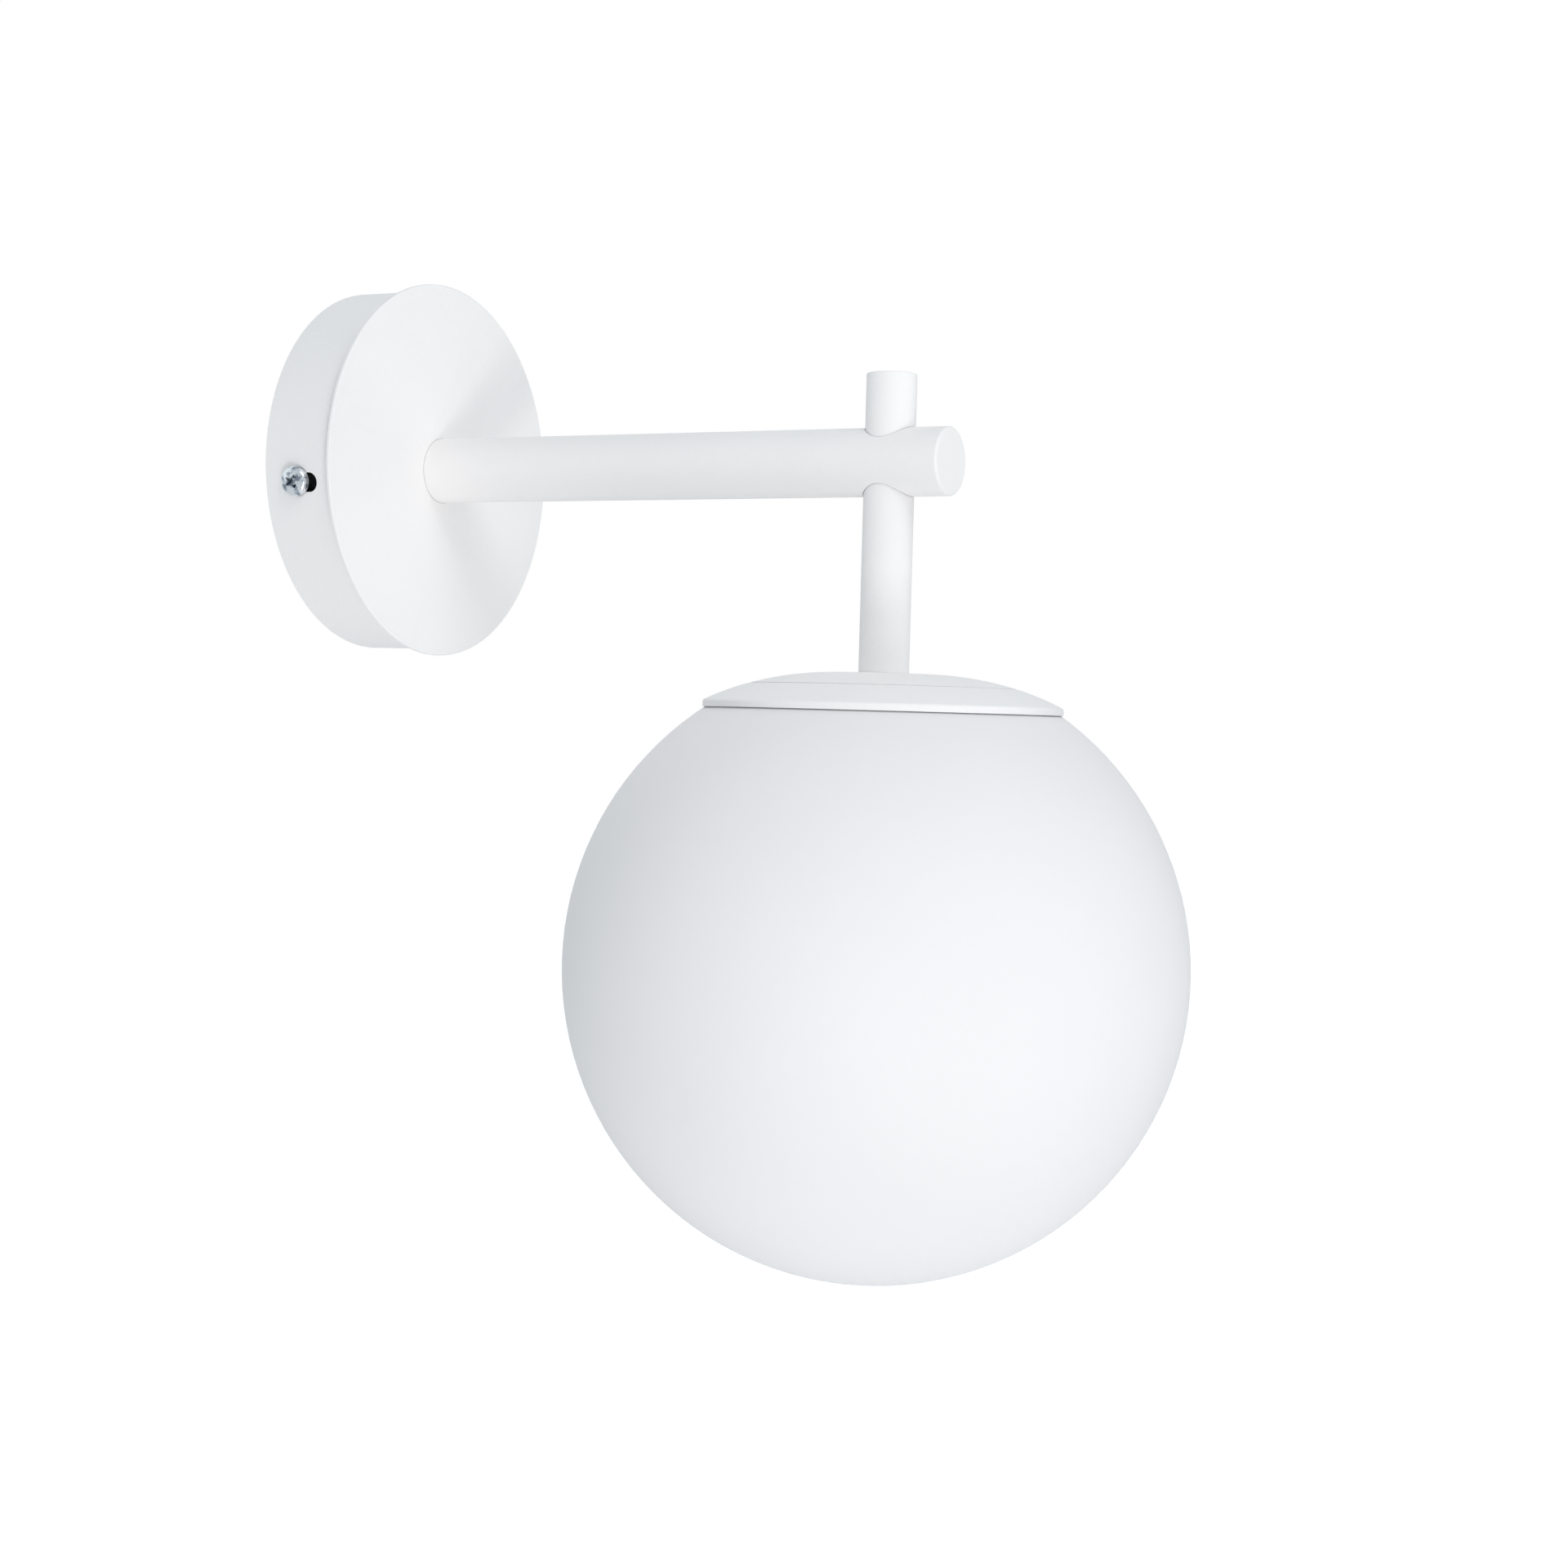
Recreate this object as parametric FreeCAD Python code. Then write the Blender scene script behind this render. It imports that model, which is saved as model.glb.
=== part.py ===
# Globe wall sconce: a round canopy on the wall, a straight arm, a tube that crosses the arm
# and hangs down, and an opal glass ball held under a spun cap by three leaf springs.
# Millimetres. Z is up, the wall is the plane y = 0 and the room is on the side of -Y.
# The origin is the point of the wall on the arm's axis.
import FreeCAD, Part
import math
import os

V = FreeCAD.Vector

# Canopy
disc_diameter = 127.8
disc_thickness = 1.2
disc_edge_round = 0.3
drum_diameter = 123.2
drum_depth = 26.7
drum_sheet = 1.0
drum_corner_round = 1.4
slot_length = 12.0
slot_width = 6.5
slot_front = 21.0
slot_rest_gap = 0.35

# Side screws, pan head with a cross recess
screw_height = 12.8
screw_shank_diameter = 4.9
screw_length = 10.0
screw_head_diameter = 10.0
screw_head_height = 3.5
screw_head_side = 0.9
screw_face_diameter = 7.8
screw_crown_radius = 9.5
screw_shoulder_bulge = 0.3
screw_chamfer = 0.6
screw_seat_gap = 0.06
recess_width = 1.5
recess_span = 5.6
recess_tip_span = 2.0
recess_depth = 2.0
screw_turn = 7.8

# Wall bracket
strap_width = 20.0
strap_sheet = 1.5
bend_round = 1.5
ear_height = 18.5
ear_gap = 0.8
tapped_diameter = 5.0
collar_diameter = 7.6
collar_length = 2.0
wall_hole_circle = 70.0
wall_hole_diameter = 5.5
bush_offset = 14.5
bush_hole_diameter = 13.0
bush_flange_diameter = 16.0
bush_flange_thickness = 1.6
bush_bore_diameter = 9.0
earth_tab_inset = 12.2
earth_tab_width = 9.0
earth_tab_height = 13.0
earth_screw_diameter = 4.0
earth_head_diameter = 7.6
earth_head_height = 2.6
earth_washer_thickness = 0.8
earth_washer_diameter = 9.0
earth_screw_length = 7.0
earth_slot_width = 0.9

# Terminal block
pole_pitch = 9.5
pole_count = 3
block_offset = 20.5
block_depth = 17.0
block_foot_width = 8.3
block_foot_height = 8.4
tower_diameter = 6.6
tower_spacing = 8.6
tower_height = 13.0
web_height = 4.0
tunnel_height = 4.3
tunnel_diameter = 5.0
tunnel_bore = 3.2
tunnel_length = 15.0
clamp_screw_diameter = 2.5
clamp_head_diameter = 3.4
clamp_head_height = 1.6
fixing_screw_diameter = 2.6
fixing_head_diameter = 4.2
fixing_head_height = 2.0
screw_bore_gap = 0.12
clamp_slot_width = 0.6
fixing_slot_width = 0.8

# Arm
arm_diameter = 22.0
arm_wall = 1.5
arm_end_thickness = 2.0
arm_end_round = 0.9
arm_overrun = 21.7
plug_spigot = 4.0
bush_length = 12.0

# Threaded hollow rods, their nuts and washers
rod_diameter = 9.9
rod_bore = 7.0
rod_hole_diameter = 10.0
nut_flats = 14.0
nut_thickness = 3.0
washer_diameter = 18.0
washer_thickness = 0.8
washer_teeth = 16
washer_notch_length = 3.0
washer_notch_width = 1.3
rod_tail = 3.0

# Drop tube
drop_reach = 201.5
drop_diameter = 16.2
drop_wall = 1.2
drop_rise = 17.2
drop_end_thickness = 1.5
drop_end_round = 0.6
crown_drop = 67.2
cross_gap = 0.15
wire_window_diameter = 9.0

# Shade cap, a spun shallow dome with an upright lip
cap_diameter = 115.0
cap_sheet = 0.6
cap_flat_diameter = 28.0
cap_dome_radius = 103.0
cap_shoulder_radius = 85.0
cap_lip_height = 2.15
cap_lip_round = 0.9
groove_diameter = 85.4
groove_width = 0.8
groove_depth = 0.5
groove_floor = 0.45

# Glass ball
globe_diameter = 200.0
globe_wall = 3.0
globe_hole_diameter = 100.0
globe_edge_round = 0.9
globe_seat_gap = 0.15

# Leaf springs on their carrier
spring_angles = (30.0, 150.0, 270.0)
spider_sheet = 1.0
spider_hub_diameter = 28.0
spider_arm_width = 11.0
spider_reach = 37.5
rivet_circle_radius = 32.5
rivet_diameter = 3.0
rivet_head_diameter = 5.0
rivet_head_height = 0.9
spring_width = 9.0
spring_sheet = 0.5
spring_tail = 27.5
spring_flat_end = 41.0
spring_glass_gap = 0.45
spring_hook = 1.9
spring_hook_drop = 5.0
spring_lead_in = 5.2
spring_length_below = 14.5

# Lampholder
holder_collar_diameter = 20.0
holder_collar_height = 4.0
holder_diameter = 39.0
holder_shoulder_height = 15.0
holder_cap_height = 28.0
holder_mouth_diameter = 41.0
holder_height = 60.0
holder_wall = 2.0
holder_rim = 2.6
holder_mouth_cone = 5.2
holder_rim_share = 0.15
holder_bulge_out = 0.72
holder_bulge_down = 0.3
holder_bulge_wall = 0.75
core_top = 25.0
core_thickness = 12.0
core_gap = 0.3
core_edge_round = 0.9
core_bore_diameter = 4.2
shell_bore = 26.9
shell_sheet = 0.4
shell_length = 21.0
shell_flange = 3.0
contact_width = 5.0
contact_sheet = 0.4
contact_reach = 7.6
contact_lift = 1.2
contact_bends = (-0.45, -0.2, 0.3, 0.6)
contact_tip_gap = 0.08
lead_clamp_offset = 7.5
lead_clamp_width = 5.4
lead_clamp_height = 5.0
lead_clamp_screw = 2.4

# Lamp
lamp_tip_depth = 38.6
lamp_length = 106.0
lamp_diameter = 60.0
lamp_wall = 1.4
lamp_screw_diameter = 26.2
lamp_screw_sheet = 0.35
lamp_screw_length = 21.0
lamp_screw_shoulder = 2.2
lamp_screw_lip = 1.5
lamp_tip_diameter = 9.4
lamp_tip_thickness = 1.1
lamp_tip_round = 0.65
lamp_insulator_height = 3.4
lamp_insulator_lip = 1.0
lamp_neck_diameter = 25.6
lamp_waist_diameter = 34.0
lamp_waist_height = 12.0
lamp_shoulder_diameter = 56.0
lamp_shoulder_height = 35.0
lamp_board_diameter = 46.0
lamp_board_thickness = 1.6
lamp_board_gap = 0.3
lamp_chip_size = 3.0
lamp_chip_height = 0.8
lamp_chip_count = 9
lamp_chip_circle = 30.0

# Leads
lead_diameter = 2.2
lead_spacing = 2.8
lead_bend_radius = 8.0
lead_grip = 4.0
lead_straight = 3.5
lead_gather_before = 4.0
lead_gather_after = 6.0
lead_gather_spread = 0.3
lead_gather_share = 0.12
lead_drop_straight = 3.0
lead_drop_spread = 8.0
earth_lead_straight = 4.0
earth_lead_side = 4.0
earth_lead_lift = 4.0
earth_lead_fall = 8.0
earth_lead_tuck = 3.5
earth_lead_turn = 8.5
earth_lead_end = 2.0
crimp_depth = 1.5
ring_thickness = 0.8
ring_diameter = 16.0
ring_tail_length = 7.0
ring_tail_width = 4.6
ring_barrel_diameter = 3.6
ring_barrel_length = 5.0

# How far a cutting shape runs past the face that it cuts
cut_past = 1.0

# Places along the arm's axis, as distances from the wall
drum_face = drum_depth
disc_front = drum_depth + disc_thickness
arm_radius = arm_diameter / 2
arm_reach = drop_reach + arm_overrun
drum_inside = drum_depth - drum_sheet
washer_back = drum_inside - washer_thickness
ring_back = washer_back - ring_thickness
arm_nut_back = ring_back - nut_thickness
arm_rod_start = arm_nut_back - rod_tail
arm_rod_end = disc_front + bush_length - rod_tail / 2

# Places down the drop tube's axis, as heights
drop_radius = drop_diameter / 2
drop_bore_radius = drop_radius - drop_wall
drop_top = arm_radius + drop_rise
crown_top = -crown_drop
crown_inside = crown_top - cap_sheet


def dome_bend(inset):
    # where the dome starts to curve more tightly, as a distance from the axis and a slope
    flat = cap_flat_diameter / 2
    slope = math.asin((groove_diameter / 2 - flat) / cap_dome_radius)
    return flat + (cap_dome_radius - inset) * math.sin(slope), slope


def dome_fall(radius, inset=0.0):
    # how far the dome has fallen below its flat crown, at a distance from the axis
    bend, slope = dome_bend(inset)
    sweep = cap_dome_radius - inset
    if radius <= bend:
        return sweep - math.sqrt(sweep ** 2 - (radius - cap_flat_diameter / 2) ** 2)
    fall = sweep * (1 - math.cos(slope))
    sweep = cap_shoulder_radius - inset
    run = sweep * math.sin(slope) + radius - bend
    return fall + sweep * math.cos(slope) - math.sqrt(sweep ** 2 - run ** 2)


lip_top = crown_top - dome_fall(cap_diameter / 2)
lip_bottom = lip_top - cap_lip_height
globe_radius = globe_diameter / 2
globe_hole_radius = globe_hole_diameter / 2
lip_inside_radius = cap_diameter / 2 - cap_sheet
globe_centre = lip_bottom - globe_seat_gap - math.sqrt(globe_radius ** 2 - lip_inside_radius ** 2)
glass_inside_radius = globe_radius - globe_wall
hole_edge_low = globe_centre + math.sqrt(glass_inside_radius ** 2 - globe_hole_radius ** 2)

cap_washer_low = crown_inside - washer_thickness
cap_nut_low = cap_washer_low - nut_thickness
spider_low = cap_nut_low - spider_sheet
holder_top = spider_low - nut_thickness
drop_rod_low = holder_top - rod_tail - holder_collar_height
drop_rod_high = crown_top + bush_length - rod_tail / 2
core_high = holder_top - core_top
core_low = core_high - core_thickness
shell_radius = shell_bore / 2
lamp_tip = holder_top - lamp_tip_depth
lamp_screw_top = lamp_tip - lamp_tip_thickness - lamp_insulator_height
lamp_neck = lamp_screw_top - lamp_screw_length
lamp_low = lamp_tip - lamp_length
lamp_shoulder = lamp_neck - lamp_shoulder_height

# The drum's slots lie a little below the side screws
slot_drop = (slot_width - screw_shank_diameter) / 2 - slot_rest_gap

# The bracket's ears stand inside the drum, clear of its wall even at their corners
drum_bore_radius = drum_diameter / 2 - drum_sheet
ear_outside = math.sqrt((drum_bore_radius - ear_gap / 2) ** 2 - (strap_width / 2) ** 2) - ear_gap
earth_tab_offset = ear_outside - earth_tab_inset


# Shape helpers

def flat_point(point):
    return V(point[0], 0, point[1])


def face_of(outline):
    # closed face in the XZ plane; a pair of points stands for an arc through the first to the second
    edges = []
    here = outline[0]
    for step in list(outline[1:]) + [outline[0]]:
        if isinstance(step[0], tuple):
            middle, end = step
            edges.append(Part.Arc(flat_point(here), flat_point(middle), flat_point(end)).toShape())
        else:
            end = step
            edges.append(Part.makeLine(flat_point(here), flat_point(end)))
        here = end
    return Part.Face(Part.Wire(edges))


def solid_of(shape):
    solid = Part.Solid(shape) if shape.ShapeType == "Shell" else shape
    if solid.Volume < 0:
        solid.reverse()
    return solid


def turned(outline):
    # solid of revolution about Z from an outline of (radius, height) points
    return solid_of(face_of(outline).revolve(V(0, 0, 0), V(0, 0, 1), 360))


def ring(outer, inner, low, high):
    # plain ring or, without a bore, a plain disc
    if inner <= 0:
        return Part.makeCylinder(outer, high - low, V(0, 0, low))
    return turned([(inner, low), (outer, low), (outer, high), (inner, high)])


def extruded(outline, width):
    # outline in XZ, made solid to both sides of the XZ plane
    face = face_of(outline)
    face.translate(V(0, -width / 2, 0))
    return solid_of(face.extrude(V(0, width, 0)))


def block(size_x, size_y, low, high, x=0.0, y=0.0):
    return Part.makeBox(size_x, size_y, high - low, V(x - size_x / 2, y - size_y / 2, low))


def rod(radius, start, end):
    # cylinder between two points
    start = V(*start)
    end = V(*end)
    return Part.makeCylinder(radius, (end - start).Length, start, end - start)


def hexagon(flats, low, high):
    corner = flats / math.sqrt(3)
    points = [V(corner * math.cos(math.radians(60 * k)), corner * math.sin(math.radians(60 * k)), low)
              for k in range(7)]
    return Part.Face(Part.makePolygon(points)).extrude(V(0, 0, high - low))


def rim_edges(shape, radius, height):
    # circular edges about Z of that radius at that height
    found = []
    for edge in shape.Edges:
        if edge.Degenerated:
            continue
        curve = edge.Curve
        if not isinstance(curve, Part.Circle):
            continue
        off_axis = math.hypot(curve.Center.x, curve.Center.y)
        if off_axis < 1e-4 and abs(curve.Radius - radius) < 1e-3 and abs(curve.Center.z - height) < 1e-3:
            found.append(edge)
    return found


def turned_by(shape, angle):
    copy = shape.copy()
    copy.rotate(V(0, 0, 0), V(0, 0, 1), angle)
    return copy


def moved(shape, x=0.0, y=0.0, z=0.0):
    copy = shape.copy()
    copy.translate(V(x, y, z))
    return copy


def on_wall(shape):
    # from a local frame whose Z leaves the wall and whose Y is up, to the row frame
    copy = shape.copy()
    copy.rotate(V(0, 0, 0), V(1, 0, 0), 90)
    return copy


def on_strap(shape):
    # the bracket and all that it carries are turned a little on the wall
    return on_wall(turned_by(shape, screw_turn))


def on_drop(shape):
    return moved(shape, y=-drop_reach)


def strap_point(x, up, out):
    # a point of the bracket's own frame: along the strap, up the wall, out of the wall
    angle = math.radians(screw_turn)
    return (x * math.cos(angle) - up * math.sin(angle), -out, x * math.sin(angle) + up * math.cos(angle))


# Canopy

def canopy_drum():
    # deep-drawn cup, open towards the wall
    outer = drum_diameter / 2
    inner = outer - drum_sheet
    bend = drum_corner_round
    inner_bend = bend - drum_sheet
    corner = bend * (1 - math.sqrt(0.5))
    inner_corner = inner_bend * (1 - math.sqrt(0.5))
    hole = rod_hole_diameter / 2
    cup = turned([
        (inner, 0),
        (outer, 0),
        (outer, drum_face - bend),
        ((outer - corner, drum_face - corner), (outer - bend, drum_face)),
        (hole, drum_face),
        (hole, drum_inside),
        (inner - inner_bend, drum_inside),
        ((inner - inner_corner, drum_inside - inner_corner), (inner, drum_inside - inner_bend)),
    ])
    for side in (-1, 1):
        cup = cup.cut(side_slot(side))
    return on_strap(cup)


def side_slot(side):
    # round-ended slot along the depth of the drum, which hangs by its upper edge from a side screw
    half = slot_width / 2
    x = side * drum_diameter / 2
    depth = 4 * drum_sheet
    low = slot_front - slot_length + half
    high = slot_front - half
    tool = block(depth, slot_width, low, high, x=x, y=-slot_drop)
    for height in (low, high):
        tool = tool.fuse(rod(half, (x - depth / 2, -slot_drop, height), (x + depth / 2, -slot_drop, height)))
    return tool


def canopy_disc():
    plate = ring(disc_diameter / 2, rod_hole_diameter / 2, drum_face, disc_front)
    rims = rim_edges(plate, disc_diameter / 2, drum_face) + rim_edges(plate, disc_diameter / 2, disc_front)
    return on_wall(plate.makeFillet(disc_edge_round, rims))


# Wall bracket and what is on it

def wall_bracket():
    # strap with an ear bent up at each end and a small earthing tab at one edge
    end = ear_outside
    sheet = strap_sheet
    bend = bend_round + sheet
    outside = bend * (1 - math.sqrt(0.5))
    inside = bend_round * (1 - math.sqrt(0.5))
    strap = extruded([
        (-end, ear_height),
        (-end, bend),
        ((-end + outside, outside), (-end + bend, 0)),
        (end - bend, 0),
        ((end - outside, outside), (end, bend)),
        (end, ear_height),
        (end - sheet, ear_height),
        (end - sheet, bend),
        ((end - sheet - inside, sheet + inside), (end - bend, sheet)),
        (-end + bend, sheet),
        ((-end + sheet + inside, sheet + inside), (-end + sheet, bend)),
        (-end + sheet, ear_height),
    ], strap_width)
    for side in (-1, 1):
        inner_face = side * (end - sheet)
        collar = rod(collar_diameter / 2, (inner_face, 0, screw_height),
                     (inner_face - side * collar_length, 0, screw_height))
        strap = strap.fuse(collar)
    tab_middle = strap_width / 2 - sheet / 2
    tab = block(earth_tab_width, sheet, 0, earth_tab_height, x=-earth_tab_offset, y=tab_middle)
    strap = strap.fuse(tab).removeSplitter()
    for side in (-1, 1):
        strap = strap.cut(rod(tapped_diameter / 2, (side * (end + sheet), 0, screw_height),
                              (side * (end - collar_length - 2 * sheet), 0, screw_height)))
        strap = strap.cut(ring(wall_hole_diameter / 2, 0, -sheet, 2 * sheet).translated(
            V(side * wall_hole_circle / 2, 0, 0)))
        strap = strap.cut(ear_corner_cutter(side))
    strap = strap.cut(ring(bush_hole_diameter / 2, 0, -sheet, 2 * sheet).translated(V(-bush_offset, 0, 0)))
    strap = strap.cut(ring(fixing_screw_diameter / 2, 0, -sheet, 2 * sheet).translated(
        V(block_offset, fixing_offset(), 0)))
    strap = strap.cut(earth_screw_rod(earth_screw_diameter / 2))
    return on_strap(strap)


def ear_corner_cutter(side):
    # leaves the free end of an ear half round
    half = strap_width / 2
    size = 2 * strap_width
    centre = ear_height - half
    x = side * (ear_outside - strap_sheet / 2)
    tool = block(4 * strap_sheet, size, centre, centre + size, x=x)
    keep = rod(half, (x - 4 * strap_sheet, 0, centre), (x + 4 * strap_sheet, 0, centre))
    return tool.cut(keep)


def earth_screw_rod(radius):
    # through the earthing tab, square to the strap's edge
    outside = strap_width / 2
    height = earth_tab_height - earth_washer_diameter / 2
    return rod(radius, (-earth_tab_offset, outside + earth_washer_thickness, height),
               (-earth_tab_offset, outside + earth_washer_thickness - earth_screw_length, height))


def cable_bush():
    # rubber bush in the strap's cable hole, flush with the wall
    bore = bush_bore_diameter / 2
    neck = bush_hole_diameter / 2
    flange = bush_flange_diameter / 2
    top = strap_sheet + bush_flange_thickness
    bush = turned([
        (bore, 0),
        (neck, 0),
        (neck, strap_sheet),
        (flange, strap_sheet),
        (flange, top - bush_flange_thickness / 2),
        (neck, top),
        (bore, top),
    ])
    return on_strap(moved(bush, x=-bush_offset))


def earth_screw():
    height = earth_tab_height - earth_washer_diameter / 2
    face = strap_width / 2 + earth_washer_thickness
    x = -earth_tab_offset
    head = rod(earth_head_diameter / 2, (x, face, height), (x, face + earth_head_height, height))
    depth = earth_head_height / 2
    slot = block(earth_head_diameter + cut_past, depth + cut_past, height - earth_slot_width / 2,
                 height + earth_slot_width / 2, x=x, y=face + earth_head_height + (cut_past - depth) / 2)
    return on_strap(earth_screw_rod(earth_screw_diameter / 2).fuse(head).cut(slot).removeSplitter())


def earth_washer():
    height = earth_tab_height - earth_washer_diameter / 2
    face = strap_width / 2
    x = -earth_tab_offset
    start = (x, face, height)
    end = (x, face + earth_washer_thickness, height)
    return on_strap(rod(earth_washer_diameter / 2, start, end).cut(rod(earth_screw_diameter / 2, start, end)))


def screw_face_height(radius):
    # the head's face is a shallow crown
    return screw_head_height - screw_crown_radius + math.sqrt(screw_crown_radius ** 2 - radius ** 2)


def side_screw(side):
    # pan head screw: the head bears on the drum, the shank is in the ear's tapped collar
    shank = screw_shank_diameter / 2
    head = screw_head_diameter / 2
    seat = drum_diameter / 2 + screw_seat_gap
    face = screw_face_diameter / 2
    face_edge = screw_face_height(face)
    bulge = screw_shoulder_bulge
    screw = turned([
        (0, -screw_length),
        (shank - screw_chamfer, -screw_length),
        (shank, screw_chamfer - screw_length),
        (shank, 0),
        (head, 0),
        (head, screw_head_side),
        (((head + face) / 2 + bulge, (screw_head_side + face_edge) / 2 + bulge), (face, face_edge)),
        ((face / 2, screw_face_height(face / 2)), (0, screw_head_height)),
    ])
    screw = screw.cut(cross_recess())
    screw.rotate(V(0, 0, 0), V(0, 1, 0), 90 * side)
    return on_strap(moved(screw, x=side * seat, z=screw_height))


def cross_recess():
    # four tapering wings that meet in the middle
    low = screw_head_height - recess_depth
    half = recess_span / 2
    tip = recess_tip_span / 2
    high = screw_head_height + cut_past
    wing = extruded([(-tip, low), (tip, low), (half, screw_head_height), (half, high), (-half, high),
                     (-half, screw_head_height)], recess_width)
    return turned_by(wing.fuse(turned_by(wing, 90)), 45)


# Terminal block

def pole_places():
    first = -(pole_count - 1) / 2
    return [(first + k) * pole_pitch for k in range(pole_count)]


def fixing_offset():
    # the block's fixing screw stands in the web between two poles
    return pole_places()[0] + pole_pitch / 2


def terminal_block():
    base = strap_sheet
    body = None
    for place in pole_places():
        foot = block(block_depth, block_foot_width, base, base + block_foot_height, x=block_offset, y=place)
        body = foot if body is None else body.fuse(foot)
        for end in (-1, 1):
            tower = ring(tower_diameter / 2, 0, base, base + tower_height)
            body = body.fuse(moved(tower, x=block_offset + end * tower_spacing / 2, y=place))
    length = pole_pitch * (pole_count - 1)
    web = block(fixing_head_diameter * 1.5, length, base, base + web_height, x=block_offset)
    body = body.fuse(web).removeSplitter()
    for place in pole_places():
        height = base + tunnel_height
        body = body.cut(rod(tunnel_diameter / 2, (block_offset - block_depth, place, height),
                            (block_offset + block_depth, place, height)))
        for end in (-1, 1):
            bore = ring(clamp_head_diameter / 2 + screw_bore_gap, 0, height, base + 2 * tower_height)
            body = body.cut(moved(bore, x=block_offset + end * tower_spacing / 2, y=place))
    hole = ring(fixing_screw_diameter / 2, 0, 0, base + tower_height)
    body = body.cut(moved(hole, x=block_offset, y=fixing_offset()))
    recess = ring(fixing_head_diameter / 2 + screw_bore_gap, 0, base + web_height, base + tower_height)
    return on_strap(body.cut(moved(recess, x=block_offset, y=fixing_offset())))


def terminal_tunnels():
    tunnels = []
    height = strap_sheet + tunnel_height
    half = tunnel_length / 2
    for place in pole_places():
        start = (block_offset - half, place, height)
        end = (block_offset + half, place, height)
        tunnel = rod(tunnel_diameter / 2, start, end).cut(rod(tunnel_bore / 2, start, end))
        for side in (-1, 1):
            hole = ring(clamp_screw_diameter / 2, 0, height, height + tunnel_diameter)
            tunnel = tunnel.cut(moved(hole, x=block_offset + side * tower_spacing / 2, y=place))
        tunnels.append(on_strap(tunnel))
    return Part.Compound(tunnels)


def terminal_screws():
    # the room-side row bears on the leads, the other row waits for the supply cable
    screws = []
    height = strap_sheet + tunnel_height
    for place in pole_places():
        for side in (-1, 1):
            tip = height + lead_diameter / 2 if side < 0 else height + tunnel_bore / 2
            top = tip + tower_height - tunnel_height - lead_diameter
            shank = ring(clamp_screw_diameter / 2, 0, tip, top - clamp_head_height)
            head = ring(clamp_head_diameter / 2, 0, top - clamp_head_height, top)
            slot = block(2 * clamp_head_diameter, clamp_slot_width, top - clamp_head_height / 2,
                         top + cut_past)
            screw = shank.fuse(head).cut(slot).removeSplitter()
            screws.append(on_strap(moved(screw, x=block_offset + side * tower_spacing / 2, y=place)))
    return Part.Compound(screws)


def terminal_fixing_screw():
    base = strap_sheet + web_height
    shank = ring(fixing_screw_diameter / 2, 0, 0, base)
    head = ring(fixing_head_diameter / 2, 0, base, base + fixing_head_height)
    slot = block(2 * fixing_head_diameter, fixing_slot_width, base + fixing_head_height / 2,
                 base + fixing_head_height + cut_past)
    screw = shank.fuse(head).cut(slot).removeSplitter()
    return on_strap(moved(screw, x=block_offset, y=fixing_offset()))


# Threaded hollow rods and their hardware

def hollow_rod(low, high):
    # a length of hollow threaded rod with chamfered ends
    outer = rod_diameter / 2
    bore = rod_bore / 2
    cut = (outer - bore) / 2
    return turned([
        (bore, low),
        (outer - cut, low),
        (outer, low + cut),
        (outer, high - cut),
        (outer - cut, high),
        (bore, high),
    ])


def hex_nut(low, high):
    nut = hexagon(nut_flats, low, high)
    corner = nut_flats / math.sqrt(3)
    dome = turned([
        (0, low),
        (nut_flats / 2, low),
        (corner, low + (corner - nut_flats / 2) / 2),
        (corner, high - (corner - nut_flats / 2) / 2),
        (nut_flats / 2, high),
        (0, high),
    ])
    return nut.common(dome).cut(ring(rod_hole_diameter / 2, 0, low - cut_past, high + cut_past))


def toothed_washer(low, high):
    washer = ring(washer_diameter / 2, rod_hole_diameter / 2, low, high)
    for k in range(washer_teeth):
        notch = block(washer_notch_length, washer_notch_width, low - cut_past, high + cut_past,
                      x=washer_diameter / 2)
        washer = washer.cut(turned_by(notch, 360 * k / washer_teeth))
    return washer


def threaded_bush(outer, low, high):
    # plug brazed into a tube's end, tapped for the hollow rod
    return ring(outer, rod_hole_diameter / 2, low, high)


# Arm and drop tube

def arm_tube():
    tube = ring(arm_radius, arm_radius - arm_wall, disc_front, arm_reach - arm_end_thickness)
    crossing = rod(drop_radius + cross_gap, (0, -arm_diameter, drop_reach), (0, arm_diameter, drop_reach))
    return on_wall(tube.cut(crossing))


def end_plug(outer, wall, thickness, edge_round, top):
    # flat end with a spigot inside the tube and a softened outer edge
    low = top - thickness
    spigot = outer - wall
    curve = edge_round * (1 - math.sqrt(0.5))
    return turned([
        (0, low - plug_spigot),
        (spigot, low - plug_spigot),
        (spigot, low),
        (outer, low),
        (outer, top - edge_round),
        ((outer - curve, top - curve), (outer - edge_round, top)),
        (0, top),
    ])


def arm_end_cap():
    return on_wall(end_plug(arm_radius, arm_wall, arm_end_thickness, arm_end_round, arm_reach))


def drop_tube():
    tube = ring(drop_radius, drop_bore_radius, crown_top, drop_top - drop_end_thickness)
    window = rod(wire_window_diameter / 2, (0, 0, 0), (0, drop_diameter, 0))
    return on_drop(tube.cut(window))


def drop_tube_cap():
    return on_drop(end_plug(drop_radius, drop_wall, drop_end_thickness, drop_end_round, drop_top))


# Shade cap and glass

def dome_outline(inset):
    # half section of the dome from the axis to its lip, moved inwards by inset
    flat = cap_flat_diameter / 2
    bend = dome_bend(inset)[0]
    radius = cap_diameter / 2 - inset
    top = crown_top - inset

    def on_dome(distance):
        return distance, top - dome_fall(distance, inset)

    return [
        (0, lip_bottom),
        (radius, lip_bottom),
        on_dome(radius),
        (on_dome((bend + radius) / 2), on_dome(bend)),
        (on_dome((flat + bend) / 2), (flat, top)),
        (0, top),
    ]


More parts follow.
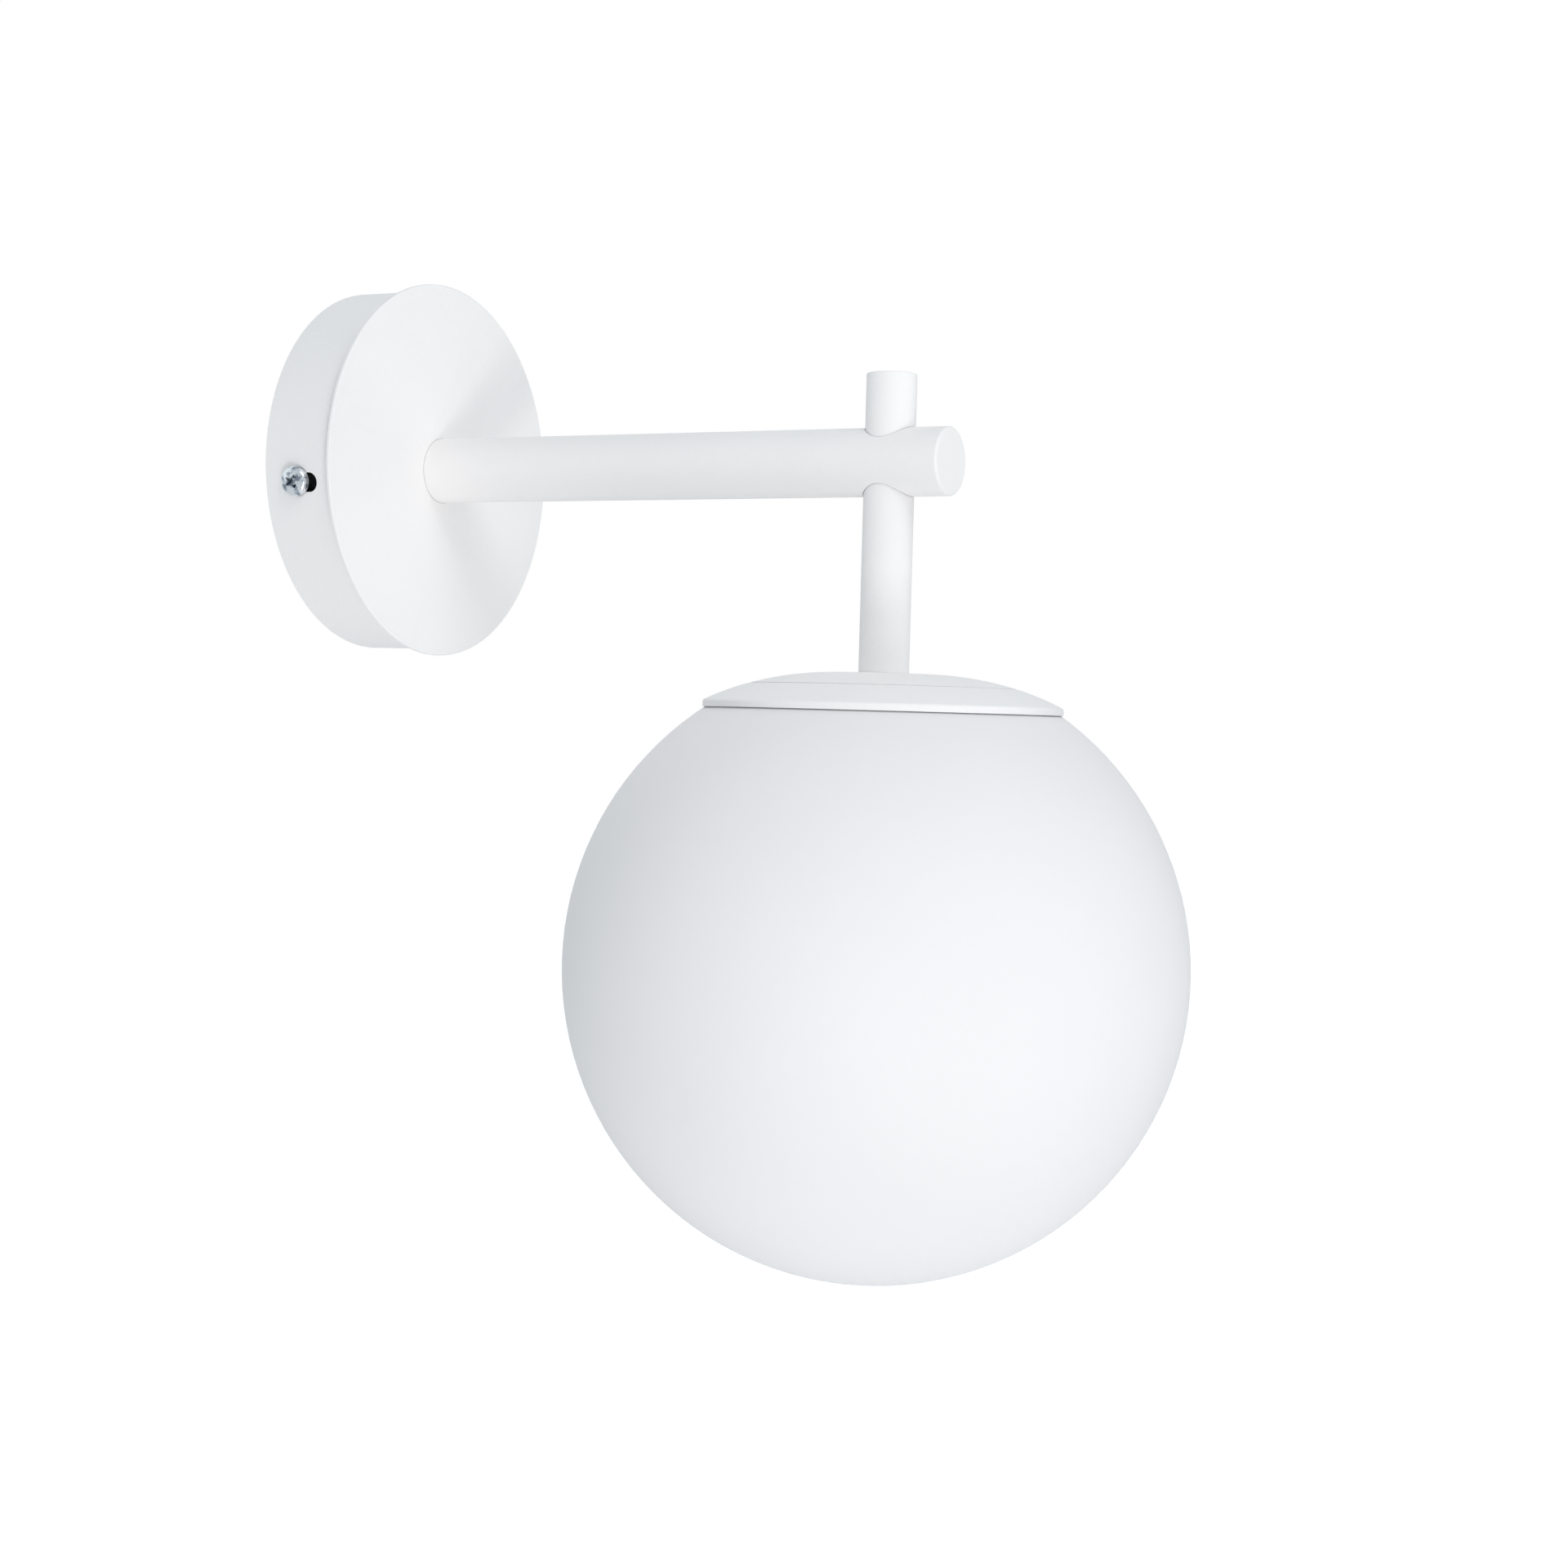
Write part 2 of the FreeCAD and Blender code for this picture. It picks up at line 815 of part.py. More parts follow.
def shade_cap():
    outside = turned(dome_outline(0.0))
    outside = outside.makeFillet(cap_lip_round, rim_edges(outside, cap_diameter / 2, lip_top))
    inside = turned(dome_outline(cap_sheet))
    middle = groove_diameter / 2
    half = groove_width / 2
    high = crown_top - dome_fall(middle - half)
    low = crown_top - dome_fall(middle) - groove_depth
    groove = ring(middle + half, middle - half, low, high + cut_past)
    # the line is rolled in, so it stands out as a bead inside
    bead = ring(middle + half + groove_floor, middle - half - groove_floor, low - groove_floor, high)
    cap = outside.cut(inside.cut(bead)).cut(groove)
    return on_drop(cap.cut(ring(rod_hole_diameter / 2, 0, lip_bottom, crown_top + cut_past)))


def glass_globe():
    # blown ball, cut open at the top; the cut edge is fire-polished
    outer = globe_radius
    inner = glass_inside_radius
    hole = globe_hole_radius
    outer_edge = math.sqrt(outer ** 2 - hole ** 2)
    inner_edge = math.sqrt(inner ** 2 - hole ** 2)
    ball = turned([
        (0, -outer),
        ((outer, 0), (hole, outer_edge)),
        (hole, inner_edge),
        ((inner, 0), (0, -inner)),
    ])
    rims = rim_edges(ball, hole, outer_edge) + rim_edges(ball, hole, inner_edge)
    ball = ball.makeFillet(globe_edge_round, rims)
    return on_drop(moved(ball, z=globe_centre))


# Spring carrier

def spring_spider():
    hub = ring(spider_hub_diameter / 2, 0, spider_low, cap_nut_low)
    for angle in spring_angles:
        reach = spider_reach - spider_arm_width / 2
        arm = block(reach, spider_arm_width, spider_low, cap_nut_low, x=reach / 2)
        tip = moved(ring(spider_arm_width / 2, 0, spider_low, cap_nut_low), x=reach)
        hub = hub.fuse(turned_by(arm.fuse(tip), angle))
    low = spider_low - cut_past
    high = cap_nut_low + cut_past
    hub = hub.removeSplitter().cut(ring(rod_hole_diameter / 2, 0, low, high))
    for angle in spring_angles:
        hole = moved(ring(rivet_diameter / 2, 0, low, high), x=rivet_circle_radius)
        hub = hub.cut(turned_by(hole, angle))
    return on_drop(hub)


def offset_strip(path, sheet):
    # outline of a strip whose one face follows path and whose other lies sheet to its right
    def corner(before, here, after):
        first = (here[0] - before[0], here[1] - before[1])
        second = (after[0] - here[0], after[1] - here[1])
        one = (first[1] / math.hypot(*first), -first[0] / math.hypot(*first))
        two = (second[1] / math.hypot(*second), -second[0] / math.hypot(*second))
        scale = sheet / (1 + one[0] * two[0] + one[1] * two[1])
        return (here[0] + (one[0] + two[0]) * scale, here[1] + (one[1] + two[1]) * scale)

    start = (2 * path[0][0] - path[1][0], 2 * path[0][1] - path[1][1])
    finish = (2 * path[-1][0] - path[-2][0], 2 * path[-1][1] - path[-2][1])
    extended = [start] + list(path) + [finish]
    other = [corner(extended[k], extended[k + 1], extended[k + 2]) for k in range(len(path))]
    return list(path) + other[::-1]


def globe_spring(angle):
    # leaf that runs out under the carrier, down through the glass's hole and hooks under its edge
    neck = globe_hole_radius - spring_glass_gap
    path = [
        (spring_tail, spider_low),
        (spring_flat_end, spider_low),
        (neck - spring_hook / 2, hole_edge_low + globe_wall / 2),
        (neck, hole_edge_low - spring_glass_gap),
        (neck + spring_hook, hole_edge_low - spring_hook_drop),
        (neck + spring_hook - spring_lead_in, hole_edge_low - spring_length_below),
    ]
    strip = extruded(offset_strip(path, spring_sheet), spring_width)
    hole = moved(ring(rivet_diameter / 2, 0, spider_low - spring_sheet - cut_past, spider_low + cut_past),
                 x=rivet_circle_radius)
    return on_drop(turned_by(strip.cut(hole), angle))


def spring_rivets():
    rivets = []
    under = spider_low - spring_sheet
    for angle in spring_angles:
        shank = ring(rivet_diameter / 2, 0, under, cap_nut_low)
        upper = ring(rivet_head_diameter / 2, 0, cap_nut_low, cap_nut_low + rivet_head_height / 2)
        lower = ring(rivet_head_diameter / 2, 0, under - rivet_head_height, under)
        lower = lower.makeFillet(rivet_head_height / 2, rim_edges(lower, rivet_head_diameter / 2,
                                                                  under - rivet_head_height))
        rivet = shank.fuse(upper).fuse(lower).removeSplitter()
        rivets.append(on_drop(turned_by(moved(rivet, x=rivet_circle_radius), angle)))
    return Part.Compound(rivets)


# Lampholder

def holder_cap():
    # upper half of the holder, screwed on the hollow rod
    top = holder_top
    collar = holder_collar_diameter / 2
    body = holder_diameter / 2
    wall = holder_wall
    low = top - holder_cap_height
    neck = top - holder_collar_height
    shoulder = top - holder_shoulder_height
    outer_mid = (collar + (body - collar) * holder_bulge_out, neck - (neck - shoulder) * holder_bulge_down)
    inner_mid = (outer_mid[0] - wall * holder_bulge_wall, outer_mid[1] - wall * holder_bulge_wall)
    hole = rod_hole_diameter / 2
    return on_drop(turned([
        (hole, top),
        (collar, top),
        (collar, neck),
        (outer_mid, (body, shoulder)),
        (body, low),
        (body - wall, low),
        (body - wall, shoulder),
        (inner_mid, (collar - wall, neck - wall)),
        (hole, neck - wall),
    ]))


def holder_skirt():
    # lower half, with a rolled mouth; a ledge inside carries the core
    high = holder_top - holder_cap_height
    low = holder_top - holder_height
    body = holder_diameter / 2
    mouth = holder_mouth_diameter / 2
    wall = holder_wall
    step = core_low - core_gap
    sleeve = shell_radius + shell_sheet + core_gap
    rim_middle = holder_rim * holder_rim_share
    return on_drop(turned([
        (body - wall, high),
        (body, high),
        (body, low + holder_rim + holder_mouth_cone),
        (mouth, low + holder_rim),
        ((mouth - rim_middle, low + rim_middle), (mouth - holder_rim, low)),
        (sleeve, low),
        (sleeve, low + holder_rim),
        (body - wall, low + holder_rim + wall),
        (body - wall, step - wall),
        (sleeve, step - wall),
        (sleeve, step),
        (body - wall, step),
    ]))


def holder_core():
    # ceramic disc that carries the contacts
    radius = holder_diameter / 2 - holder_wall - core_gap
    core = ring(radius, 0, core_low, core_high)
    core = core.makeFillet(core_edge_round, rim_edges(core, radius, core_high))
    hole = rod(core_bore_diameter / 2, (0, 0, core_low - cut_past), (0, 0, core_high + cut_past))
    return on_drop(core.cut(hole))


def screw_shell():
    # rolled sleeve that the lamp's screw cap goes into
    outer = shell_radius + shell_sheet
    flange_low = core_low - shell_sheet
    return on_drop(turned([
        (shell_radius - shell_flange, core_low),
        (outer, core_low),
        (outer, core_low - shell_length),
        (shell_radius, core_low - shell_length),
        (shell_radius, flange_low),
        (shell_radius - shell_flange, flange_low),
    ]))


def centre_contact():
    # springy tongue under the core, against the lamp's tip
    pressed = lamp_tip + contact_tip_gap + contact_sheet
    heights = (core_low, pressed, pressed, pressed + contact_lift / 2)
    path = [(-contact_reach, core_low)]
    for share, height in zip(contact_bends, heights):
        path.append((contact_reach * share, height))
    return on_drop(extruded(offset_strip(path, contact_sheet), contact_width))


def lead_clamps():
    # two brass clamps on the core, each with its screw, where the leads end
    clamps = []
    for side in (-1, 1):
        body = block(lead_clamp_width, lead_clamp_width, core_high, core_high + lead_clamp_height,
                     x=side * lead_clamp_offset)
        height = core_high + lead_clamp_height / 2
        edge = side * (lead_clamp_offset + lead_clamp_width / 2)
        screw = rod(lead_clamp_screw / 2, (edge, 0, height), (edge + side * lead_clamp_screw, 0, height))
        clamps.append(on_drop(body.fuse(screw).removeSplitter()))
    return Part.Compound(clamps)


# Lamp

def lamp_tip_contact():
    radius = lamp_tip_diameter / 2
    low = lamp_tip - lamp_tip_thickness
    tip = ring(radius, 0, low, lamp_tip)
    return on_drop(tip.makeFillet(lamp_tip_round, rim_edges(tip, radius, lamp_tip)))


def lamp_insulator():
    low = lamp_screw_top
    high = lamp_tip - lamp_tip_thickness
    foot = lamp_screw_diameter / 2 - lamp_screw_shoulder
    shoulder = lamp_tip_diameter / 2 + lamp_insulator_lip
    return on_drop(turned([(0, low), (foot, low), (shoulder, high), (0, high)]))


def lamp_screw_cap():
    # thin metal cap, drawn in at the top round the insulator
    outer = lamp_screw_diameter / 2
    sheet = lamp_screw_sheet
    shoulder = outer - lamp_screw_shoulder
    return on_drop(turned([
        (shoulder - lamp_screw_lip, lamp_screw_top),
        (shoulder, lamp_screw_top),
        (outer, lamp_screw_top - lamp_screw_shoulder),
        (outer, lamp_neck),
        (outer - sheet, lamp_neck),
        (outer - sheet, lamp_screw_top - lamp_screw_shoulder - sheet / 2),
        (shoulder - sheet / 2, lamp_screw_top - sheet),
        (shoulder - lamp_screw_lip, lamp_screw_top - sheet),
    ]))


def lamp_housing():
    # moulded cone between the screw cap and the diffuser
    neck = lamp_neck_diameter / 2
    waist = lamp_waist_diameter / 2
    shoulder = lamp_shoulder_diameter / 2
    wall = lamp_wall
    waist_height = lamp_neck - lamp_waist_height
    mid = ((waist + shoulder) / 2 - wall, (waist_height + lamp_shoulder) / 2)
    return on_drop(turned([
        (neck - 3 * wall, lamp_neck + 2 * wall),
        (neck - wall, lamp_neck + 2 * wall),
        (neck - wall, lamp_neck),
        (neck + wall, lamp_neck),
        (waist, waist_height),
        (mid, (shoulder, lamp_shoulder)),
        (shoulder - wall, lamp_shoulder),
        ((mid[0] - wall, mid[1] - wall / 2), (waist - wall, waist_height)),
        (neck - 3 * wall, lamp_neck - wall),
    ]))


def lamp_diffuser():
    # opal bowl: a short turn from the shoulder into most of a ball
    radius = lamp_diameter / 2
    wall = lamp_wall
    edge = lamp_shoulder_diameter / 2
    centre = lamp_low + radius

    def bowl(size, rim, low):
        start = math.sqrt(size ** 2 - rim ** 2)
        return [
            (0, centre + start),
            (rim, centre + start),
            ((size, centre), (0, low)),
        ]

    outer = turned(bowl(radius, edge, lamp_low))
    neck_high = lamp_shoulder
    outer = outer.fuse(ring(edge, 0, centre, neck_high)).removeSplitter()
    inner = turned(bowl(radius - wall, edge - wall, lamp_low + wall))
    inner = inner.fuse(ring(edge - wall, 0, centre, neck_high + cut_past)).removeSplitter()
    return on_drop(outer.cut(inner))


def lamp_board():
    # round circuit board with its light-emitting chips, at the mouth of the housing
    high = lamp_shoulder - lamp_board_gap
    low = high - lamp_board_thickness
    board = ring(lamp_board_diameter / 2, 0, low, high)
    for k in range(lamp_chip_count):
        chip = block(lamp_chip_size, lamp_chip_size, low - lamp_chip_height, low, x=lamp_chip_circle / 2)
        board = board.fuse(turned_by(chip, 360 * k / lamp_chip_count))
    rest = ring(lamp_shoulder_diameter / 2 - lamp_wall, lamp_board_diameter / 2 - lamp_wall, low, high)
    return on_drop(board.fuse(rest).removeSplitter())


# Leads

def lead(points, width=lead_diameter, bend=lead_bend_radius):
    # round lead along straight runs joined by tangent arcs
    corners = [V(*p) for p in points]
    edges = []
    radii = []
    here = corners[0]
    for k in range(1, len(corners) - 1):
        back = corners[k - 1] - corners[k]
        ahead = corners[k + 1] - corners[k]
        turn = math.pi - back.getAngle(ahead)
        reach = min(0.45 * min(back.Length, ahead.Length), bend * math.tan(turn / 2))
        radius = reach / math.tan(turn / 2)
        start = corners[k] + back.normalize() * reach
        end = corners[k] + ahead.normalize() * reach
        inward = (back + ahead).normalize()
        middle = corners[k] + inward * (radius / math.cos(turn / 2) - radius)
        edges.append(Part.LineSegment(here, start).toShape())
        edges.append(Part.Arc(start, middle, end).toShape())
        radii.append(round(radius, 1))
        here = end
    edges.append(Part.LineSegment(here, corners[-1]).toShape())
    path = Part.Wire(edges)
    section = Part.Wire([Part.makeCircle(width / 2, corners[0], corners[1] - corners[0])])
    tube = path.makePipeShell([section], True, False)
    print("lead", "length", round(path.Length, 1), "radii", radii,
          "volume share", round(tube.Volume / (math.pi * width ** 2 / 4 * path.Length), 4))
    return tube


def supply_lead(side, place):
    # from its pole through the arm and the drop tube to its clamp on the lampholder's core
    x = side * lead_spacing / 2
    height = strap_sheet + tunnel_height
    inner = block_offset - tunnel_length / 2
    pole = strap_point(inner + lead_grip, place, height)
    leaving = strap_point(inner - lead_straight, place, height)
    gather = (x + side * lead_gather_spread, lead_gather_before - arm_rod_start, place * lead_gather_share)
    clamp_x = side * lead_clamp_offset
    return lead([
        pole,
        leaving,
        gather,
        (x, -arm_rod_start - lead_gather_after, 0),
        (x, -drop_reach, 0),
        (x, -drop_reach, drop_rod_low - lead_drop_straight),
        (clamp_x, -drop_reach, drop_rod_low - lead_drop_spread),
        (clamp_x, -drop_reach, core_high + lead_clamp_height),
    ])


def earth_lead():
    # from the earth pole to the ring terminal under the arm's nut
    place = pole_places()[0]
    height = strap_sheet + tunnel_height
    inner = block_offset - tunnel_length / 2
    out = ring_back + ring_thickness - ring_barrel_diameter / 2
    barrel = washer_diameter / 2 + ring_tail_length + ring_barrel_length
    return lead([
        strap_point(inner + lead_grip, place, height),
        strap_point(inner - earth_lead_straight, place, height),
        (earth_lead_side, -height - earth_lead_lift, place - earth_lead_fall),
        (0, earth_lead_tuck - out, -barrel - earth_lead_turn),
        (0, -out, -barrel - earth_lead_end),
        (0, -out, crimp_depth - barrel),
    ])


def earth_ring_terminal():
    # tinned ring on the hollow rod, with a crimped barrel pointing down
    eye = ring(ring_diameter / 2, rod_hole_diameter / 2, ring_back, washer_back)
    far = washer_diameter / 2 + ring_tail_length
    start = (rod_hole_diameter + ring_diameter) / 4
    corner = V(-ring_tail_width / 2, -far, ring_back)
    tail = Part.makeBox(ring_tail_width, far - start, ring_thickness, corner)
    centre = washer_back - ring_barrel_diameter / 2
    barrel = rod(ring_barrel_diameter / 2, (0, -far, centre), (0, -far - ring_barrel_length, centre))
    mouth = far + ring_barrel_length
    bore_end = (0, crimp_depth - mouth, centre)
    barrel = barrel.cut(rod(lead_diameter / 2, bore_end, (0, -mouth - cut_past, centre)))
    return on_wall(eye.fuse(tail).fuse(barrel).removeSplitter())


def save(name, shape):
    solids = shape.Solids
    if not solids or not shape.isValid():
        raise RuntimeError(name + " is not a valid solid")
    result = solids[0] if len(solids) == 1 else Part.Compound(solids)
    result.exportStep("parts/" + name + ".step")
    print(name, len(solids), round(sum(s.Volume for s in solids), 2))


def build():
    os.makedirs("parts", exist_ok=True)
    earth_pole, neutral_pole, live_pole = pole_places()
    pieces = {
        "wall_bracket": wall_bracket(),
        "cable_bush": cable_bush(),
        "earth_screw": earth_screw(),
        "earth_washer": earth_washer(),
        "terminal_block": terminal_block(),
        "terminal_tunnels": terminal_tunnels(),
        "terminal_screws": terminal_screws(),
        "terminal_fixing_screw": terminal_fixing_screw(),
        "canopy_drum": canopy_drum(),
        "canopy_disc": canopy_disc(),
        "side_screw_left": side_screw(-1),
        "side_screw_right": side_screw(1),
        "arm_tube": arm_tube(),
        "arm_bush": on_wall(threaded_bush(arm_radius - arm_wall, disc_front, disc_front + bush_length)),
        "arm_end_cap": arm_end_cap(),
        "arm_rod": on_wall(hollow_rod(arm_rod_start, arm_rod_end)),
        "arm_lock_washer": on_wall(toothed_washer(washer_back, drum_inside)),
        "arm_nut": on_wall(hex_nut(arm_nut_back, ring_back)),
        "earth_ring_terminal": earth_ring_terminal(),
        "drop_tube": drop_tube(),
        "drop_tube_cap": drop_tube_cap(),
        "drop_bush": on_drop(threaded_bush(drop_bore_radius, crown_top, crown_top + bush_length)),
        "drop_rod": on_drop(hollow_rod(drop_rod_low, drop_rod_high)),
        "shade_cap": shade_cap(),
        "cap_lock_washer": on_drop(toothed_washer(cap_washer_low, crown_inside)),
        "cap_nut": on_drop(hex_nut(cap_nut_low, cap_washer_low)),
        "spring_spider": spring_spider(),
        "spring_rivets": spring_rivets(),
        "holder_lock_nut": on_drop(hex_nut(holder_top, spider_low)),
        "holder_cap": holder_cap(),
        "holder_skirt": holder_skirt(),
        "holder_core": holder_core(),
        "screw_shell": screw_shell(),
        "centre_contact": centre_contact(),
        "lead_clamps": lead_clamps(),
        "glass_globe": glass_globe(),
        "lamp_diffuser": lamp_diffuser(),
        "lamp_board": lamp_board(),
        "lamp_housing": lamp_housing(),
        "lamp_screw_cap": lamp_screw_cap(),
        "lamp_insulator": lamp_insulator(),
        "lamp_tip_contact": lamp_tip_contact(),
        "live_lead": supply_lead(1, live_pole),
        "neutral_lead": supply_lead(-1, neutral_pole),
        "earth_lead": earth_lead(),
    }
    for name, angle in zip(("right", "left", "front"), spring_angles):
        pieces["globe_spring_" + name] = globe_spring(angle)
    for name, shape in pieces.items():
        save(name, shape)


build()
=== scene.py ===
# Globe wall sconce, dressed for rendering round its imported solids.
# Frame as packed: metres, wall plane y = 0, room towards -Y, Z up, origin on the arm's axis.
import math

import bmesh
import bpy
from mathutils import Matrix, Vector


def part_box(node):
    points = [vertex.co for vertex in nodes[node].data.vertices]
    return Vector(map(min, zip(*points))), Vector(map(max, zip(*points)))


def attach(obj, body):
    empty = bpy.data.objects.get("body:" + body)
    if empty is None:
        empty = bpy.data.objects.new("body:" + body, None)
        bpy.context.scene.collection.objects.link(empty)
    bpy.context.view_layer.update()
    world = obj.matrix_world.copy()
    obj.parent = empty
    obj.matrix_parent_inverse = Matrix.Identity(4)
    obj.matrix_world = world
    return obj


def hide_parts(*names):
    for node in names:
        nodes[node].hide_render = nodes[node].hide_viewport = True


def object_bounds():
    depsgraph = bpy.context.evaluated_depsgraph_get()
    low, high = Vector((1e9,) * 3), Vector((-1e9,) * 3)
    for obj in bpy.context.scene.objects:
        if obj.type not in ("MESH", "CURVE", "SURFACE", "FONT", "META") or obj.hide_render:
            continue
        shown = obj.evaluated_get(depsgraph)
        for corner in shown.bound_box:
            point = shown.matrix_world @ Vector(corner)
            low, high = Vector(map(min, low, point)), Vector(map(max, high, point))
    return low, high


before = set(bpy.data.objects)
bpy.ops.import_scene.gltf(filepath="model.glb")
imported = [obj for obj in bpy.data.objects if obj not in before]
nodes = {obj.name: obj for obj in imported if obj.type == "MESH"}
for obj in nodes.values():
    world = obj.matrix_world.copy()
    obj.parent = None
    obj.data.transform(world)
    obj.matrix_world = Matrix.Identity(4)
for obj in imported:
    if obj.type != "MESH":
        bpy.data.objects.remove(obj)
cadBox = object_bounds()
print("frame loaded, pieces:", len(nodes))

dropAxis = (0.0, -201.5, 0.0)   # millimetres; the drop tube, shade, ball and lamp hang on this upright
noiseSpan = (0.3, 0.7)          # a noise texture's values lie mostly between these
cloudSpan = (0.34, 0.66)        # the share of it in which one cloud's colour turns into the other's
seamRays = 6                    # rays that look for how closed in a place is


def linearColour(hexCode):
    # sRGB hex value to the linear colour that the shaders take
    parts = [int(hexCode[k:k + 2], 16) / 255 for k in (1, 3, 5)]
    return tuple(c / 12.92 if c <= 0.04045 else ((c + 0.055) / 1.055) ** 2.4 for c in parts) + (1.0,)


def addNode(tree, kind, inputs=None, **settings):
    # adds a node; an input takes a plain value or the socket that feeds it
    node = tree.nodes.new(kind)
    for name, value in settings.items():
        setattr(node, name, value)
    for name, value in (inputs or {}).items():
        if isinstance(value, bpy.types.NodeSocket):
            tree.links.new(value, node.inputs[name])
        else:
            node.inputs[name].default_value = value
    return node


def newMaterial(name):
    # an empty material with object coordinates in millimetres; closeMaterial adds its output node
    material = bpy.data.materials.new(name)
    material.use_nodes = True
    tree = material.node_tree
    tree.nodes.clear()
    place = addNode(tree, "ShaderNodeTexCoord")
    inMillimetres = addNode(tree, "ShaderNodeVectorMath", {0: place.outputs["Object"], "Scale": 1000.0},
                            operation="SCALE")
    return material, tree, inMillimetres.outputs["Vector"]


def closeMaterial(tree, shader):
    addNode(tree, "ShaderNodeOutputMaterial", {"Surface": shader.outputs[0]})


def paintSeamShade(tree, colour, seam):
    # painted shade: a darker colour in seams, grooves and recesses, where shade falls, found from how closed
    # in each place is
    openness = addNode(tree, "ShaderNodeAmbientOcclusion", {"Distance": seam["reach"] / 1000},
                       samples=seamRays)
    share = addNode(tree, "ShaderNodeMapRange", {"Value": openness.outputs["AO"], "From Min": seam["open"][0],
                                                 "From Max": seam["open"][1]})
    mixed = addNode(tree, "ShaderNodeMix", {"Factor": share.outputs[0], "A": linearColour(seam["colour"]),
                                            "B": colour}, data_type="RGBA")
    return mixed.outputs[2]


def dress(material, *names):
    # gives carried-over pieces their finish
    for name in names:
        piece = nodes[name]
        piece.data.materials.clear()
        piece.data.materials.append(material)
        for face in piece.data.polygons:
            face.material_index = 0


def simpleFinish(name, look):
    # clouding of the colour, a finer grain in roughness and relief; drawn lines where the sheet was rolled
    material, tree, place = newMaterial(name)
    stretched = addNode(tree, "ShaderNodeVectorMath", {0: place, 1: look.get("stretch", (1, 1, 1))},
                        operation="MULTIPLY")
    cloud = addNode(tree, "ShaderNodeTexNoise", {"Vector": place, "Scale": 1 / look["cloud"], "Detail": 4.0})
    grain = addNode(tree, "ShaderNodeTexNoise", {"Vector": stretched.outputs[0], "Scale": 1 / look["grain"],
                                                 "Detail": 3.0, "Roughness": 0.6})
    patch = look.get("patch", cloudSpan)
    share = addNode(tree, "ShaderNodeMapRange", {"Value": cloud.outputs[0], "From Min": patch[0],
                                                 "From Max": patch[1]})
    mixed = addNode(tree, "ShaderNodeMix", {"Factor": share.outputs[0], "A": linearColour(look["colours"][0]),
                                            "B": linearColour(look["colours"][1])}, data_type="RGBA")
    # painted shade in seams and recesses, for the finishes that have a seam entry
    colour = paintSeamShade(tree, mixed.outputs[2], look["seam"]) if "seam" in look else mixed.outputs[2]
    rough = addNode(tree, "ShaderNodeMapRange", {"Value": grain.outputs[0], "From Min": noiseSpan[0],
                                                 "From Max": noiseSpan[1], "To Min": look["rough"][0],
                                                 "To Max": look["rough"][1]})
    relief = addNode(tree, "ShaderNodeBump", {"Height": grain.outputs[0], "Strength": 1.0,
                                              "Distance": look["relief"] / 1000})
    sockets = {"Base Color": colour, "Roughness": rough.outputs[0], "Normal": relief.outputs[0]}
    sockets.update(look.get("shader", {}))
    closeMaterial(tree, addNode(tree, "ShaderNodeBsdfPrincipled", sockets))
    return material


